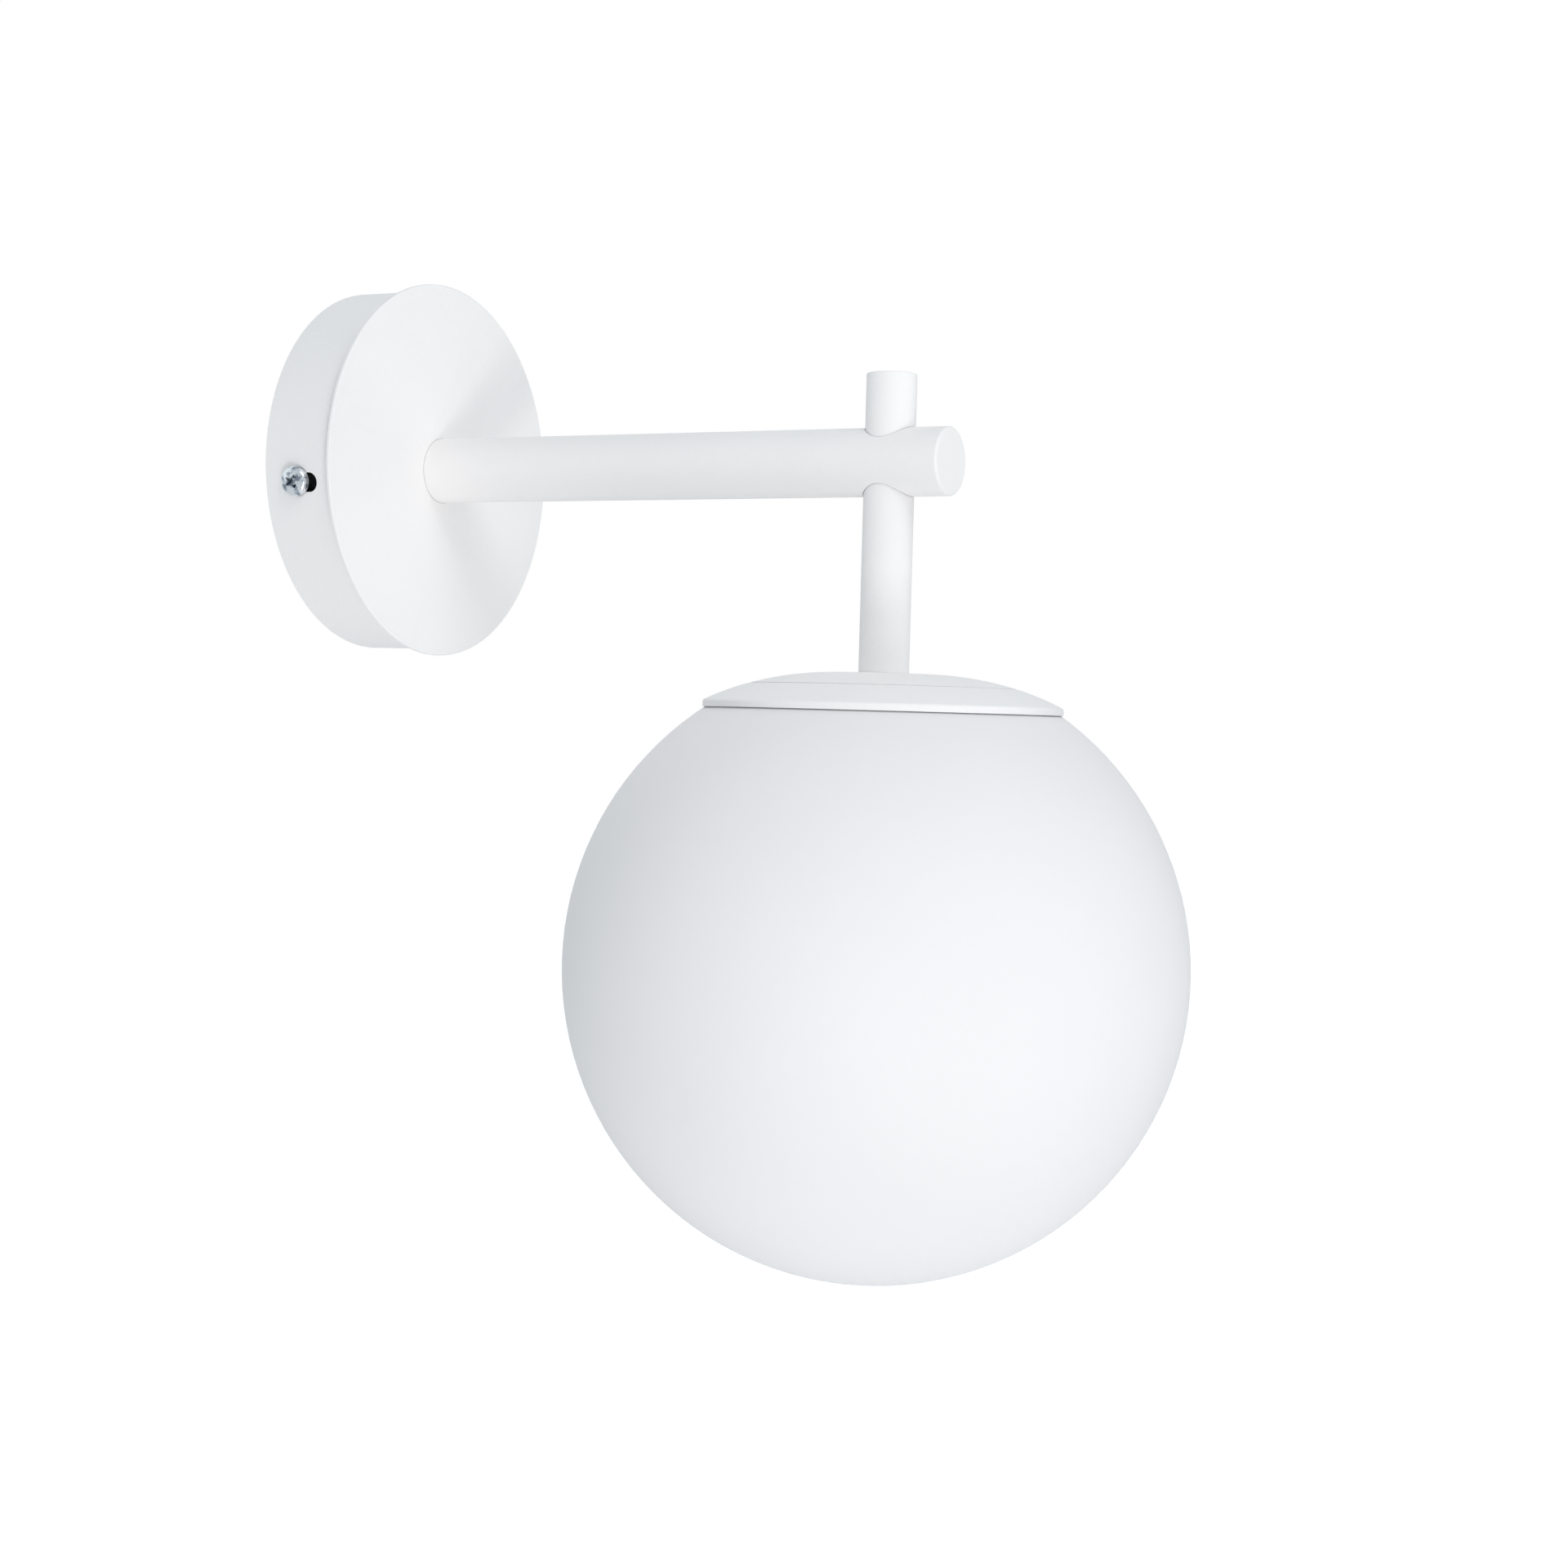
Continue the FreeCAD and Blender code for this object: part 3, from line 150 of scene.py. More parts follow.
# Metals, plastics and other small finishes. Cloud and grain are sizes in millimetres, relief is a depth.
# The real grain is mostly under 0.1 mm; it is drawn 0.25 to 0.8 mm so that it shows.
finishes = {
    # bright zinc plate, blue passivated: cool grey, a little cloudy from the bath
    "zincPlatedSteel": {
        "colours": ("#A4ACB6", "#C6CBD1"), "cloud": 7.0, "grain": 0.5, "rough": (0.26, 0.42),
        "relief": 0.012, "shader": {"Metallic": 1.0}},
    # cold-headed screw, nickel plated: cool bright metal; the dark and bright patches are painted reflections
    # of a room, and the dark recess is painted shade
    "nickelPlatedSteel": {
        "colours": ("#939CA8", "#F4F6F9"), "cloud": 2.2, "patch": (0.38, 0.52), "grain": 0.3,
        "rough": (0.1, 0.24), "relief": 0.012, "shader": {"Metallic": 1.0},
        "seam": {"reach": 2.0, "open": (0.3, 0.75), "colour": "#4A5462"}},
    # pressed strip, dipped in black paint and baked: satin, a little thicker in places; its black also stands
    # in as painted shade behind the drum's side slot
    "blackDippedSteelAndSlotShade": {
        "colours": ("#101011", "#1B1B1D"), "cloud": 9.0, "grain": 0.45, "rough": (0.34, 0.52),
        "relief": 0.02, "shader": {"IOR": 1.5}},
    # rolled stainless strip: dark warm grey, with fine drawn lines along the leaf
    "rolledSpringSteel": {
        "colours": ("#8D8B87", "#B3B0AA"), "cloud": 5.0, "grain": 0.25, "rough": (0.2, 0.38),
        "relief": 0.008, "stretch": (1.0, 1.0, 0.06), "shader": {"Metallic": 1.0}},
    # turned brass: yellow, slightly dulled by handling
    "turnedBrass": {
        "colours": ("#B98F45", "#D8B265"), "cloud": 4.0, "grain": 0.3, "rough": (0.22, 0.4),
        "relief": 0.008, "shader": {"Metallic": 1.0}},
    # rolled brass sheet with a thin nickel plate: warm silver, smooth
    "nickelPlatedBrass": {
        "colours": ("#BDB6A3", "#D9D4C6"), "cloud": 5.0, "grain": 0.3, "rough": (0.18, 0.32),
        "relief": 0.008, "shader": {"Metallic": 1.0}},
    # rolled aluminium sheet: pale silver, a little clouded
    "rolledAluminium": {
        "colours": ("#B8BABC", "#D6D7D8"), "cloud": 5.0, "grain": 0.35, "rough": (0.22, 0.36),
        "relief": 0.01, "shader": {"Metallic": 1.0}},
    # injection moulded nylon, uncoloured: milky, lets light in a little
    "mouldedNylon": {
        "colours": ("#DEDACB", "#EBE8DC"), "cloud": 9.0, "grain": 0.4, "rough": (0.34, 0.5), "relief": 0.015,
        "shader": {"IOR": 1.53, "Subsurface Weight": 0.25, "Subsurface Scale": 0.002,
                   "Subsurface Radius": (1.0, 0.9, 0.8)}},
    # compression moulded rubber: near black, dull, a dusty bloom
    "mouldedRubber": {
        "colours": ("#19191A", "#2B2B2C"), "cloud": 3.0, "grain": 0.35, "rough": (0.6, 0.8),
        "relief": 0.02, "shader": {"IOR": 1.52}},
    # moulded thermoplastic polyester: clean white with a fine spark-eroded grain
    "mouldedPolyester": {
        "colours": ("#E9E9E6", "#EEEEEB"), "cloud": 30.0, "grain": 0.45, "rough": (0.3, 0.42),
        "relief": 0.012, "shader": {"IOR": 1.57}},
    # glazed steatite: ivory, glassy
    "glazedSteatite": {
        "colours": ("#E2DCCB", "#EEE9DC"), "cloud": 6.0, "grain": 0.8, "rough": (0.1, 0.2),
        "relief": 0.01, "shader": {"IOR": 1.6, "Coat Weight": 0.6}},
    # polycarbonate moulded with a frost: white, soft, a little translucent
    "frostedPolycarbonate": {
        "colours": ("#EFEEEA", "#F4F3EF"), "cloud": 30.0, "grain": 0.4, "rough": (0.38, 0.5), "relief": 0.01,
        "shader": {"IOR": 1.585, "Subsurface Weight": 0.3, "Subsurface Scale": 0.003,
                   "Subsurface Radius": (1.0, 1.0, 0.95)}},
    # polycarbonate moulded in a polished tool: white, glossy
    "polishedPolycarbonate": {
        "colours": ("#EBEBE9", "#F0F0EE"), "cloud": 30.0, "grain": 0.5, "rough": (0.16, 0.26),
        "relief": 0.008, "shader": {"IOR": 1.54}},
    # white solder mask, screen printed over aluminium: chalky white
    "printedSolderMask": {
        "colours": ("#E3E4E0", "#EEEFEB"), "cloud": 6.0, "grain": 0.3, "rough": (0.3, 0.42),
        "relief": 0.01, "shader": {"IOR": 1.5}},
    # black glass, fused into the lamp's cap: deep black, shiny
    "fusedBlackGlass": {
        "colours": ("#0F0F12", "#1C1C21"), "cloud": 3.0, "grain": 0.6, "rough": (0.08, 0.18),
        "relief": 0.015, "shader": {"IOR": 1.55}},
    # PVC extruded over stranded copper: soft satin, slightly wavy along the lead
    "extrudedBrownPvc": {
        "colours": ("#5A3825", "#6B452E"), "cloud": 6.0, "grain": 0.7, "rough": (0.36, 0.5),
        "relief": 0.02, "shader": {"IOR": 1.53}},
    "extrudedBluePvc": {
        "colours": ("#2E62A8", "#3A70B8"), "cloud": 6.0, "grain": 0.7, "rough": (0.36, 0.5),
        "relief": 0.02, "shader": {"IOR": 1.53}},
}
made = {name: simpleFinish(name, look) for name, look in finishes.items()}

# the black bracket is partly painted shade: it darkens what shows through the drum's side slot
dress(made["blackDippedSteelAndSlotShade"], "wall_bracket")
dress(made["zincPlatedSteel"], "earth_washer", "terminal_screws", "terminal_fixing_screw",
      "arm_bush", "arm_nut", "earth_ring_terminal", "drop_bush", "cap_nut", "spring_spider",
      "spring_rivets", "holder_lock_nut")
dress(made["rolledSpringSteel"], "arm_lock_washer", "cap_lock_washer", "globe_spring_front",
      "globe_spring_left", "globe_spring_right")
dress(made["turnedBrass"], "earth_screw", "terminal_tunnels", "lead_clamps")
dress(made["nickelPlatedBrass"], "centre_contact", "lamp_tip_contact")
dress(made["mouldedNylon"], "terminal_block")
dress(made["mouldedRubber"], "cable_bush")
dress(made["mouldedPolyester"], "holder_cap", "holder_skirt")
dress(made["glazedSteatite"], "holder_core")
dress(made["frostedPolycarbonate"], "lamp_diffuser")
dress(made["polishedPolycarbonate"], "lamp_housing")
dress(made["printedSolderMask"], "lamp_board")
dress(made["fusedBlackGlass"], "lamp_insulator")
dress(made["extrudedBrownPvc"], "live_lead")
dress(made["extrudedBluePvc"], "neutral_lead")
print("metals and plastics made:", len(made))


# Powder coat: polyester powder, sprayed and baked. Clean white, satin, a sandy grain over a slow
# orange peel. The grit is about 0.2 mm; it is drawn 0.7 mm so that it shows at this distance.
powder = {
    "colours": ("#F4F0EF", "#F8F4F3"),
    "cloud": 90.0,
    "grit": 0.7,
    "gritRelief": 0.1,
    "peel": 3.5,
    "peelRelief": 0.03,
    "rough": (0.52, 0.68),
    "gloss": 0.35,       # specular level
    # painted shade: seams and narrow grooves turn grey where they are closed in, where shade falls
    "seam": {"reach": 0.9, "open": (0.3, 0.62), "colour": "#7A7D81"},
}


def powderCoat(look):
    material, tree, place = newMaterial("bakedPowderCoat")
    cloud = addNode(tree, "ShaderNodeTexNoise", {"Vector": place, "Scale": 1 / look["cloud"], "Detail": 3.0})
    grit = addNode(tree, "ShaderNodeTexNoise", {"Vector": place, "Scale": 1 / look["grit"], "Detail": 2.0,
                                                "Roughness": 0.55})
    peel = addNode(tree, "ShaderNodeTexNoise", {"Vector": place, "Scale": 1 / look["peel"], "Detail": 1.0})
    share = addNode(tree, "ShaderNodeMapRange", {"Value": cloud.outputs[0], "From Min": noiseSpan[0],
                                                 "From Max": noiseSpan[1]})
    colour = addNode(tree, "ShaderNodeMix", {"Factor": share.outputs[0],
                                             "A": linearColour(look["colours"][0]),
                                             "B": linearColour(look["colours"][1])}, data_type="RGBA")
    # painted shade in the seams and grooves
    coat = paintSeamShade(tree, colour.outputs[2], look["seam"])
    rough = addNode(tree, "ShaderNodeMapRange", {"Value": grit.outputs[0], "From Min": noiseSpan[0],
                                                 "From Max": noiseSpan[1], "To Min": look["rough"][0],
                                                 "To Max": look["rough"][1]})
    wave = addNode(tree, "ShaderNodeBump", {"Height": peel.outputs[0], "Strength": 1.0,
                                            "Distance": look["peelRelief"] / 1000})
    sand = addNode(tree, "ShaderNodeBump", {"Height": grit.outputs[0], "Strength": 1.0,
                                            "Distance": look["gritRelief"] / 1000, "Normal": wave.outputs[0]})
    closeMaterial(tree, addNode(tree, "ShaderNodeBsdfPrincipled", {
        "Base Color": coat, "Roughness": rough.outputs[0], "Normal": sand.outputs[0], "IOR": 1.5,
        "Specular IOR Level": look["gloss"]}))
    return material


dress(powderCoat(powder), "canopy_drum", "canopy_disc", "arm_tube", "arm_end_cap", "drop_tube",
      "drop_tube_cap", "shade_cap")

# Opal glass: blown in three layers and etched in acid. Milky white all through, silky, no sharp
# reflections; the wall's thickness drifts a little, so the white does too. The etch is under 0.05 mm;
# it is drawn 0.5 mm so that it shows.
opal = {
    "colours": ("#F0EBEB", "#F4EFEF"),
    "cloud": 60.0,
    "etch": 0.5,
    "etchRelief": 0.01,
    "rough": (0.66, 0.78),
    "gloss": 0.3,         # specular level
    "subsurface": 0.25,
    "scatter": 0.006,     # metres
    # painted light: the inside faces get these colours and a glow of their own
    "coloursInside": ("#ECEFF0", "#F0F3F4"),
    "glowInside": 0.09,   # light that the wall lets through into the ball
    "middle": -162.0,     # height of the ball's middle
    "insideReach": 98.6,  # faces nearer to the middle than this are the inside
}


def opalGlass(name, look, colours, glow):
    material, tree, place = newMaterial(name)
    cloud = addNode(tree, "ShaderNodeTexNoise", {"Vector": place, "Scale": 1 / look["cloud"], "Detail": 1.0})
    etch = addNode(tree, "ShaderNodeTexNoise", {"Vector": place, "Scale": 1 / look["etch"], "Detail": 2.0})
    colour = addNode(tree, "ShaderNodeMix", {"Factor": cloud.outputs[0], "A": linearColour(colours[0]),
                                             "B": linearColour(colours[1])}, data_type="RGBA")
    rough = addNode(tree, "ShaderNodeMapRange", {"Value": etch.outputs[0], "From Min": noiseSpan[0],
                                                 "From Max": noiseSpan[1], "To Min": look["rough"][0],
                                                 "To Max": look["rough"][1]})
    silk = addNode(tree, "ShaderNodeBump", {"Height": etch.outputs[0], "Strength": 1.0,
                                            "Distance": look["etchRelief"] / 1000})
    closeMaterial(tree, addNode(tree, "ShaderNodeBsdfPrincipled", {
        "Base Color": colour.outputs[2], "Roughness": rough.outputs[0], "Normal": silk.outputs[0],
        "IOR": 1.52, "Specular IOR Level": look["gloss"], "Subsurface Weight": look["subsurface"],
        "Subsurface Radius": (1.0, 1.0, 1.0), "Subsurface Scale": look["scatter"],
        "Emission Color": linearColour(colours[1]), "Emission Strength": glow}))
    return material


def dressBall(look):
    # the ball's inner face is the same glass with its own colours and a painted glow, which stands in for the
    # light that comes through the wall
    dress(opalGlass("etchedOpalGlass", look, look["colours"], 0.0), "glass_globe")
    ball = nodes["glass_globe"].data
    ball.materials.append(opalGlass("etchedOpalGlassInside", look, look["coloursInside"], look["glowInside"]))
    middle = (Vector(dropAxis) + Vector((0, 0, look["middle"]))) / 1000
    for face in ball.polygons:
        if (face.center - middle).length < look["insideReach"] / 1000:
            face.material_index = 1


dressBall(opal)

# Two-colour PVC of the earth lead, extruded over stranded copper: soft satin. The stripe keeps to the
# lead's side, so it follows the surface's normal.
stripe = {
    "green": "#3E8E3F",
    "yellow": "#E3CF2E",
    "edge": 0.08,         # how softly one colour turns into the other
    "rough": (0.34, 0.5),
    "grain": 0.7,
    "relief": 0.02,
}


def stripedPvc(look):
    material, tree, place = newMaterial("extrudedStripedPvc")
    surface = addNode(tree, "ShaderNodeNewGeometry")
    side = addNode(tree, "ShaderNodeSeparateXYZ", {"Vector": surface.outputs["Normal"]})
    band = addNode(tree, "ShaderNodeMapRange", {"Value": side.outputs["X"], "From Min": -look["edge"],
                                                "From Max": look["edge"]})
    grain = addNode(tree, "ShaderNodeTexNoise", {"Vector": place, "Scale": 1 / look["grain"], "Detail": 2.0})
    colour = addNode(tree, "ShaderNodeMix", {"Factor": band.outputs[0], "A": linearColour(look["green"]),
                                             "B": linearColour(look["yellow"])}, data_type="RGBA")
    rough = addNode(tree, "ShaderNodeMapRange", {"Value": grain.outputs[0], "To Min": look["rough"][0],
                                                 "To Max": look["rough"][1]})
    relief = addNode(tree, "ShaderNodeBump", {"Height": grain.outputs[0], "Distance": look["relief"] / 1000})
    closeMaterial(tree, addNode(tree, "ShaderNodeBsdfPrincipled", {
        "Base Color": colour.outputs[2], "Roughness": rough.outputs[0], "Normal": relief.outputs[0],
        "IOR": 1.53}))
    return material


dress(stripedPvc(stripe), "earth_lead")
print("powder coat, opal glass and striped lead made")

weldReach = 0.0005   # millimetres; closes a thread's seam and its pinched ends
sharpAngle = 32.0    # degrees between faces from which an edge stays sharp


def grooveShare(turns, look):
    # 0 on the thread's crest, 1 in its root; a rolled sheet is wavy, a cut thread has straight flanks
    if look.get("rolled"):
        return 0.5 - 0.5 * math.cos(2 * math.pi * turns)
    aside = abs(2 * (turns % 1.0) - 1)
    return min(1.0, max(0.0, (look["crestEdge"] - aside) / (look["crestEdge"] - look["rootEdge"])))


def threadSpan(low, high, look, share):
    # one column of a thread, this share of a turn round; its rows climb with the helix, so crests stay clean
    step = look["pitch"] / look["rows"]
    count = math.ceil((high - low) / step) + look["rows"]
    points = []
    for row in range(count + 1):
        height = min(high, max(low, low + row * step + (share - 1) * look["pitch"]))
        inside = min(height - low, high - height)
        radius = look["crest"] - look["depth"] * grooveShare(height / look["pitch"] - share, look)
        if "runOut" in look:
            fade = min(1.0, inside / look["runOut"])
            radius = look["crest"] + (radius - look["crest"]) * fade * fade * (3 - 2 * fade)
        if "chamfer" in look:
            radius = min(radius, look["crest"] - look["chamfer"] + inside)
        points.append((radius, height))
    return points


def turnedMesh(name, column, around):
    # carries a closed outline once round local Z and welds it where it comes back; millimetres
    points = []
    for k in range(around + 1):
        angle = 2 * math.pi * k / around
        outline = column(k / around)
        points += [(r * math.cos(angle), r * math.sin(angle), h) for r, h in outline]
    size = len(outline)
    faces = []
    for k in range(around):
        for j in range(size):
            after = (j + 1) % size
            faces.append((k * size + j, k * size + after, (k + 1) * size + after, (k + 1) * size + j))
    mesh = bpy.data.meshes.new(name)
    mesh.from_pydata(points, [], faces)
    work = bmesh.new()
    work.from_mesh(mesh)
    bmesh.ops.remove_doubles(work, verts=work.verts, dist=weldReach)
    bmesh.ops.dissolve_degenerate(work, edges=work.edges, dist=weldReach)
    bmesh.ops.recalc_face_normals(work, faces=work.faces)
    work.to_mesh(mesh)
    work.free()
    return mesh


def lieAlong(towards, foot):
    # frame whose Z runs towards a direction from a foot in millimetres, scaled to metres
    turn = Vector(towards).to_track_quat("Z", "Y").to_matrix().to_4x4()
    return Matrix.Translation(Vector(foot) / 1000) @ turn @ Matrix.Scale(0.001, 4)


def addPiece(mesh, material, body, slotName, *stoodFor):
    # puts a finished mesh in the scene, on its body, for the solids that it stands for
    for face in mesh.polygons:
        face.use_smooth = True
        face.material_index = 0
    mesh.set_sharp_from_angle(angle=math.radians(sharpAngle))
    mesh.materials.clear()
    mesh.materials.append(material)
    piece = bpy.data.objects.new(mesh.name, mesh)
    bpy.context.scene.collection.objects.link(piece)
    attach(piece, body)
    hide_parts(*stoodFor)
    return piece


# Hollow rods M10 x 1: cut thread with flanks of 60 degrees, chamfered ends.
hollowRod = {
    "pitch": 1.0,
    "crest": 4.95,
    "depth": 0.55,
    "bore": 3.5,
    "chamfer": 0.7,
    "crestEdge": 0.875,
    "rootEdge": 0.25,
    "rows": 8,
    "around": 64,
}


def makeHollowRod(name, node, look, low, high, towards, foot):
    def column(share):
        return threadSpan(low, high, look, share) + [(look["bore"], high), (look["bore"], low)]

    mesh = turnedMesh(name, column, look["around"])
    mesh.transform(lieAlong(towards, foot))
    return addPiece(mesh, made["zincPlatedSteel"], "fixture", "zinc_plated_steel", node)


armRodEnds = [corner.y * 1000 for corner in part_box("arm_rod")]
dropRodEnds = [corner.z * 1000 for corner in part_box("drop_rod")]
makeHollowRod("armThreadedRod", "arm_rod", hollowRod, *armRodEnds, (0, 1, 0), (0, 0, 0))
makeHollowRod("dropThreadedRod", "drop_rod", hollowRod, *dropRodEnds, (0, 0, 1), dropAxis)

# Screw cap of the lamp: thin sheet with a rolled round thread, 7 turns to the inch.
lampCapThread = {
    "rolled": True,
    "pitch": 3.63,
    "crest": 13.1,
    "depth": 0.95,
    "runOut": 1.6,
    "sheet": 0.35,
    "shoulder": 2.2,
    "lip": 1.5,
    "plainTop": 0.3,
    "plainFoot": 4.2,
    "rows": 16,
    "around": 96,
}


def makeLampCap(look):
    low, high = (corner.z * 1000 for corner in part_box("lamp_screw_cap"))
    sheet = look["sheet"]
    outside = look["crest"]
    neck = outside - look["shoulder"]
    top = high - look["shoulder"]

    def column(share):
        thread = threadSpan(low + look["plainFoot"], top - look["plainTop"], look, share)
        inner = [(radius - sheet, height) for radius, height in reversed(thread)]
        return [(outside - sheet, low), (outside, low)] + thread + [
            (outside, top), (neck, high), (neck - look["lip"], high), (neck - look["lip"], high - sheet),
            (neck - sheet / 2, high - sheet), (outside - sheet, top - sheet / 2)] + inner

    mesh = turnedMesh("lampThreadedCap", column, look["around"])
    mesh.transform(lieAlong((0, 0, 1), dropAxis))
    return addPiece(mesh, made["rolledAluminium"], "lamp", "lamp_cap_metal", "lamp_screw_cap")


makeLampCap(lampCapThread)

# Screw shell of the lampholder: the same rolled thread, shallow enough for the lamp to turn inside it.
holderShell = {
    "rolled": True,
    "pitch": 3.63,
    "crest": 13.45,
    "depth": 0.25,
    "runOut": 1.6,
    "sheet": 0.4,
    "flange": 3.0,
    "plain": 2.2,
    "rows": 16,
    "around": 96,
}


def makeHolderShell(look):
    low, high = (corner.z * 1000 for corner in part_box("screw_shell"))
    sheet = look["sheet"]
    bore = look["crest"]

    def column(share):
        thread = threadSpan(low + look["plain"], high - look["plain"], look, share)
        outer = [(radius + sheet, height) for radius, height in thread]
        inner = list(reversed(thread))
        return [(bore, low), (bore + sheet, low)] + outer + [
            (bore + sheet, high), (bore - look["flange"], high), (bore - look["flange"], high - sheet),
            (bore, high - sheet)] + inner

    mesh = turnedMesh("holderThreadedShell", column, look["around"])
    mesh.transform(lieAlong((0, 0, 1), dropAxis))
    return addPiece(mesh, made["nickelPlatedBrass"], "fixture", "nickelled_brass", "screw_shell")


makeHolderShell(holderShell)

# Side screws M5: the head keeps its solid's shape, the shank gets its rolled thread.
sideScrew = {
    "pitch": 0.8,
    "crest": 2.45,
    "depth": 0.42,
    "chamfer": 0.6,
    "crestEdge": 0.875,
    "rootEdge": 0.25,
    "rows": 8,
    "around": 48,
    "length": 10.0,
    "sunk": 0.6,       # how far the shank reaches up into the head
    "cutUnder": 0.01,  # how far under the head the solid's own shank is cut off
    "turn": 7.8,       # degrees that the strap is turned on the wall
    "height": 12.8,    # off the wall
    "seat": 61.66,     # from the drum's axis to the underside of the head
}


def makeSideScrew(name, node, body, side, look):
    angle = math.radians(look["turn"])
    outward = Vector((side * math.cos(angle), 0, side * math.sin(angle)))
    foot = outward * look["seat"] - Vector((0, look["height"], 0))
    stand = lieAlong(outward, foot)

    def column(share):
        thread = threadSpan(-look["length"], look["sunk"], look, share)
        return thread + [(0.0, look["sunk"]), (0.0, -look["length"])]

    mesh = turnedMesh(name, column, look["around"])
    mesh.transform(stand)
    work = bmesh.new()
    work.from_mesh(mesh)
    threadSize = len(work.verts)
    head = nodes[node].data.copy()
    work.from_mesh(head)
    work.verts.ensure_lookup_table()
    upright = stand.inverted()
    solidHead = work.verts[threadSize:]
    plainShank = [vertex for vertex in solidHead if (upright @ vertex.co).z < -look["cutUnder"]]
    bmesh.ops.delete(work, geom=plainShank, context="VERTS")
    work.to_mesh(mesh)
    work.free()
    bpy.data.meshes.remove(head)
    return addPiece(mesh, made["nickelPlatedSteel"], body, "bright_screw_steel", node)


makeSideScrew("leftThreadedScrew", "side_screw_left", "left_screw", -1, sideScrew)
makeSideScrew("rightThreadedScrew", "side_screw_right", "right_screw", 1, sideScrew)
print("threads made")


# The camera, where the photograph was taken from.
cameraView = {
    "azimuth": -61.281,   # degrees round the object from the room side
    "elevation": 1.259,
    "roll": 1.587,
    "distance": 0.962354,
    "target": (0.0, -0.166382, -0.103745),
    "lens": 67.993,
    "sensor": 36.0,
    "clip": (0.05, 60.0),
}


def direction(azimuth, elevation):
    # from the object towards a place seen under these angles
    a = math.radians(azimuth)
    e = math.radians(elevation)
    return Vector((math.sin(a) * math.cos(e), -math.cos(a) * math.cos(e), math.sin(e)))


def aimed(back, roll=0.0):
    # rotation of a camera or light whose own Z points along back
    right = Vector((-back.y, back.x, 0)).normalized()
    turn = Matrix.Rotation(math.radians(roll), 3, back)
    right = turn @ right
    up = back.cross(right)
    return Matrix((right, up, back)).transposed().to_4x4()


def placeCamera(view):
    back = direction(view["azimuth"], view["elevation"])
    data = bpy.data.cameras.new("camera")
    data.lens = view["lens"]
    data.sensor_width = view["sensor"]
    data.clip_start, data.clip_end = view["clip"]
    camera = bpy.data.objects.new("camera", data)
    camera.matrix_world = Matrix.Translation(Vector(view["target"]) + back * view["distance"]) @ aimed(
        back, view["roll"])
    bpy.context.scene.collection.objects.link(camera)
    bpy.context.scene.camera = camera


placeCamera(cameraView)


# Studio: pale floor, soft boxes on the camera's side, and a cool even surround, a little stronger
# towards the room and the wall.
studio = {
    "floorDrop": 1.1,
    "floorSize": 60.0,
    "floorColour": "#F4F4F4",
    "floorRough": (0.8, 0.95),
    "floorFibre": 2.0,                # millimetres
    "floorGlow": (0.0, 0.5),          # as light on the object, and as the camera sees it
    "surround": 0.52,                 # from the sides, above and below
    "surroundAhead": (0.29, 0.39),    # added towards the room, and towards the wall
    "surroundTint": (0.92, 1.0, 1.04),
    "centre": (0.0, -0.13, -0.11),
}

softBoxes = {
    # azimuth, elevation, distance, width, watts
    "lowBox": (-55.0, -32.0, 1.5, 0.3, 3.88),
    "lowFrontBox": (-40.0, -18.0, 1.5, 0.3, 1.69),
    "underBox": (-45.0, -50.0, 1.5, 0.4, 1.70),
    "highBox": (-40.0, 40.0, 1.5, 0.3, 1.73),
    "upperBox": (-45.0, 50.0, 1.5, 0.4, 1.79),
    "overBox": (-20.0, 50.0, 1.5, 0.4, 1.46),
    "roomBox": (30.0, 0.0, 1.5, 0.6, 0.98),
}


def placeLights():
    centre = Vector(studio["centre"])
    for name, (azimuth, elevation, distance, width, watts) in softBoxes.items():
        back = direction(azimuth, elevation)
        data = bpy.data.lights.new(name, "AREA")
        data.shape = "SQUARE"
        data.size = width
        data.energy = watts
        light = bpy.data.objects.new(name, data)
        light.matrix_world = Matrix.Translation(centre + back * distance) @ aimed(back)
        bpy.context.scene.collection.objects.link(light)


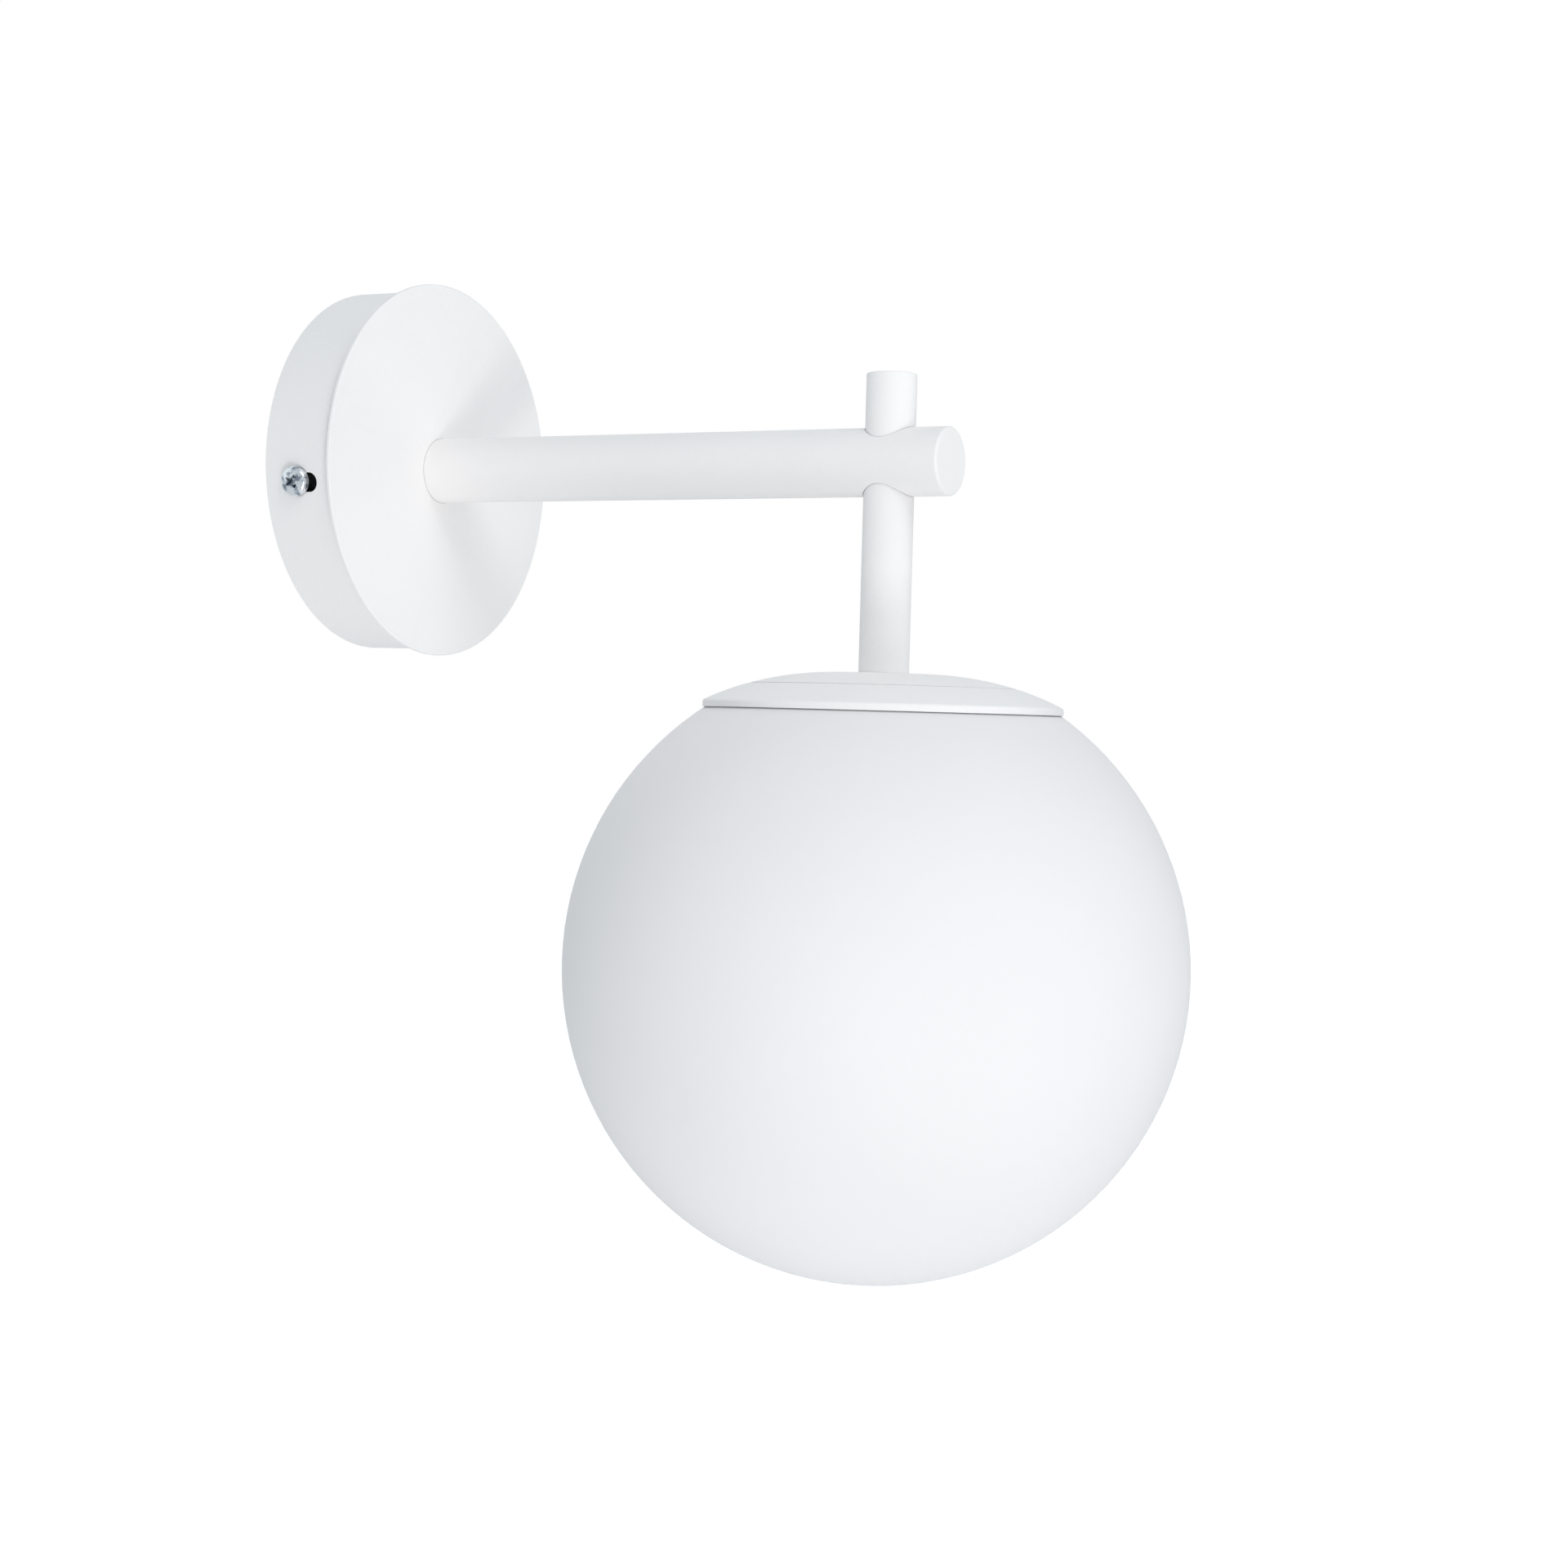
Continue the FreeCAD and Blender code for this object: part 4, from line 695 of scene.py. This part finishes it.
def placeSurround():
    world = bpy.data.worlds.new("surround")
    bpy.context.scene.world = world
    world.use_nodes = True
    tree = world.node_tree
    tree.nodes.clear()
    place = addNode(tree, "ShaderNodeTexCoord")
    sides = addNode(tree, "ShaderNodeSeparateXYZ", {"Vector": place.outputs["Generated"]})
    ahead = addNode(tree, "ShaderNodeMath", {0: sides.outputs["Y"]}, operation="ABSOLUTE")
    added = addNode(tree, "ShaderNodeMapRange", {"Value": sides.outputs["Y"], "From Min": -1.0,
                                                 "From Max": 1.0, "To Min": studio["surroundAhead"][0],
                                                 "To Max": studio["surroundAhead"][1]})
    strength = addNode(tree, "ShaderNodeMath", {0: ahead.outputs[0], 1: added.outputs[0],
                                                2: studio["surround"]}, operation="MULTIPLY_ADD")
    light = addNode(tree, "ShaderNodeBackground", {"Color": (*studio["surroundTint"], 1),
                                                   "Strength": strength.outputs[0]})
    seen = addNode(tree, "ShaderNodeBackground", {"Color": (1, 1, 1, 1), "Strength": 1.0})
    path = addNode(tree, "ShaderNodeLightPath")
    both = addNode(tree, "ShaderNodeMixShader", {0: path.outputs["Is Camera Ray"], 1: light.outputs[0],
                                                 2: seen.outputs[0]})
    addNode(tree, "ShaderNodeOutputWorld", {"Surface": both.outputs[0]})


def placeFloor():
    half = studio["floorSize"] / 2
    height = cadBox[0].z - studio["floorDrop"]
    mesh = bpy.data.meshes.new("floor")
    corners = [(-half, -half, height), (half, -half, height), (half, half, height), (-half, half, height)]
    mesh.from_pydata(corners, [], [(0, 1, 2, 3)])
    floor = bpy.data.objects.new("floor", mesh)
    bpy.context.scene.collection.objects.link(floor)
    # matt backdrop paper, lit evenly: one pale tone with no shine
    material, tree, place = newMaterial("backdropPaper")
    fibre = addNode(tree, "ShaderNodeTexNoise", {"Vector": place, "Scale": 1 / studio["floorFibre"],
                                                 "Detail": 2.0})
    rough = addNode(tree, "ShaderNodeMapRange", {"Value": fibre.outputs[0], "To Min": studio["floorRough"][0],
                                                 "To Max": studio["floorRough"][1]})
    path = addNode(tree, "ShaderNodeLightPath")
    glow = addNode(tree, "ShaderNodeMapRange", {"Value": path.outputs["Is Camera Ray"],
                                                "To Min": studio["floorGlow"][0],
                                                "To Max": studio["floorGlow"][1]})
    closeMaterial(tree, addNode(tree, "ShaderNodeBsdfPrincipled", {
        "Base Color": linearColour(studio["floorColour"]), "Roughness": rough.outputs[0],
        "Specular IOR Level": 0.0, "Emission Color": (1, 1, 1, 1), "Emission Strength": glow.outputs[0]}))
    mesh.materials.append(material)


placeLights()
placeSurround()
placeFloor()
bpy.context.scene.view_settings.view_transform = "Standard"
print("camera and studio placed")
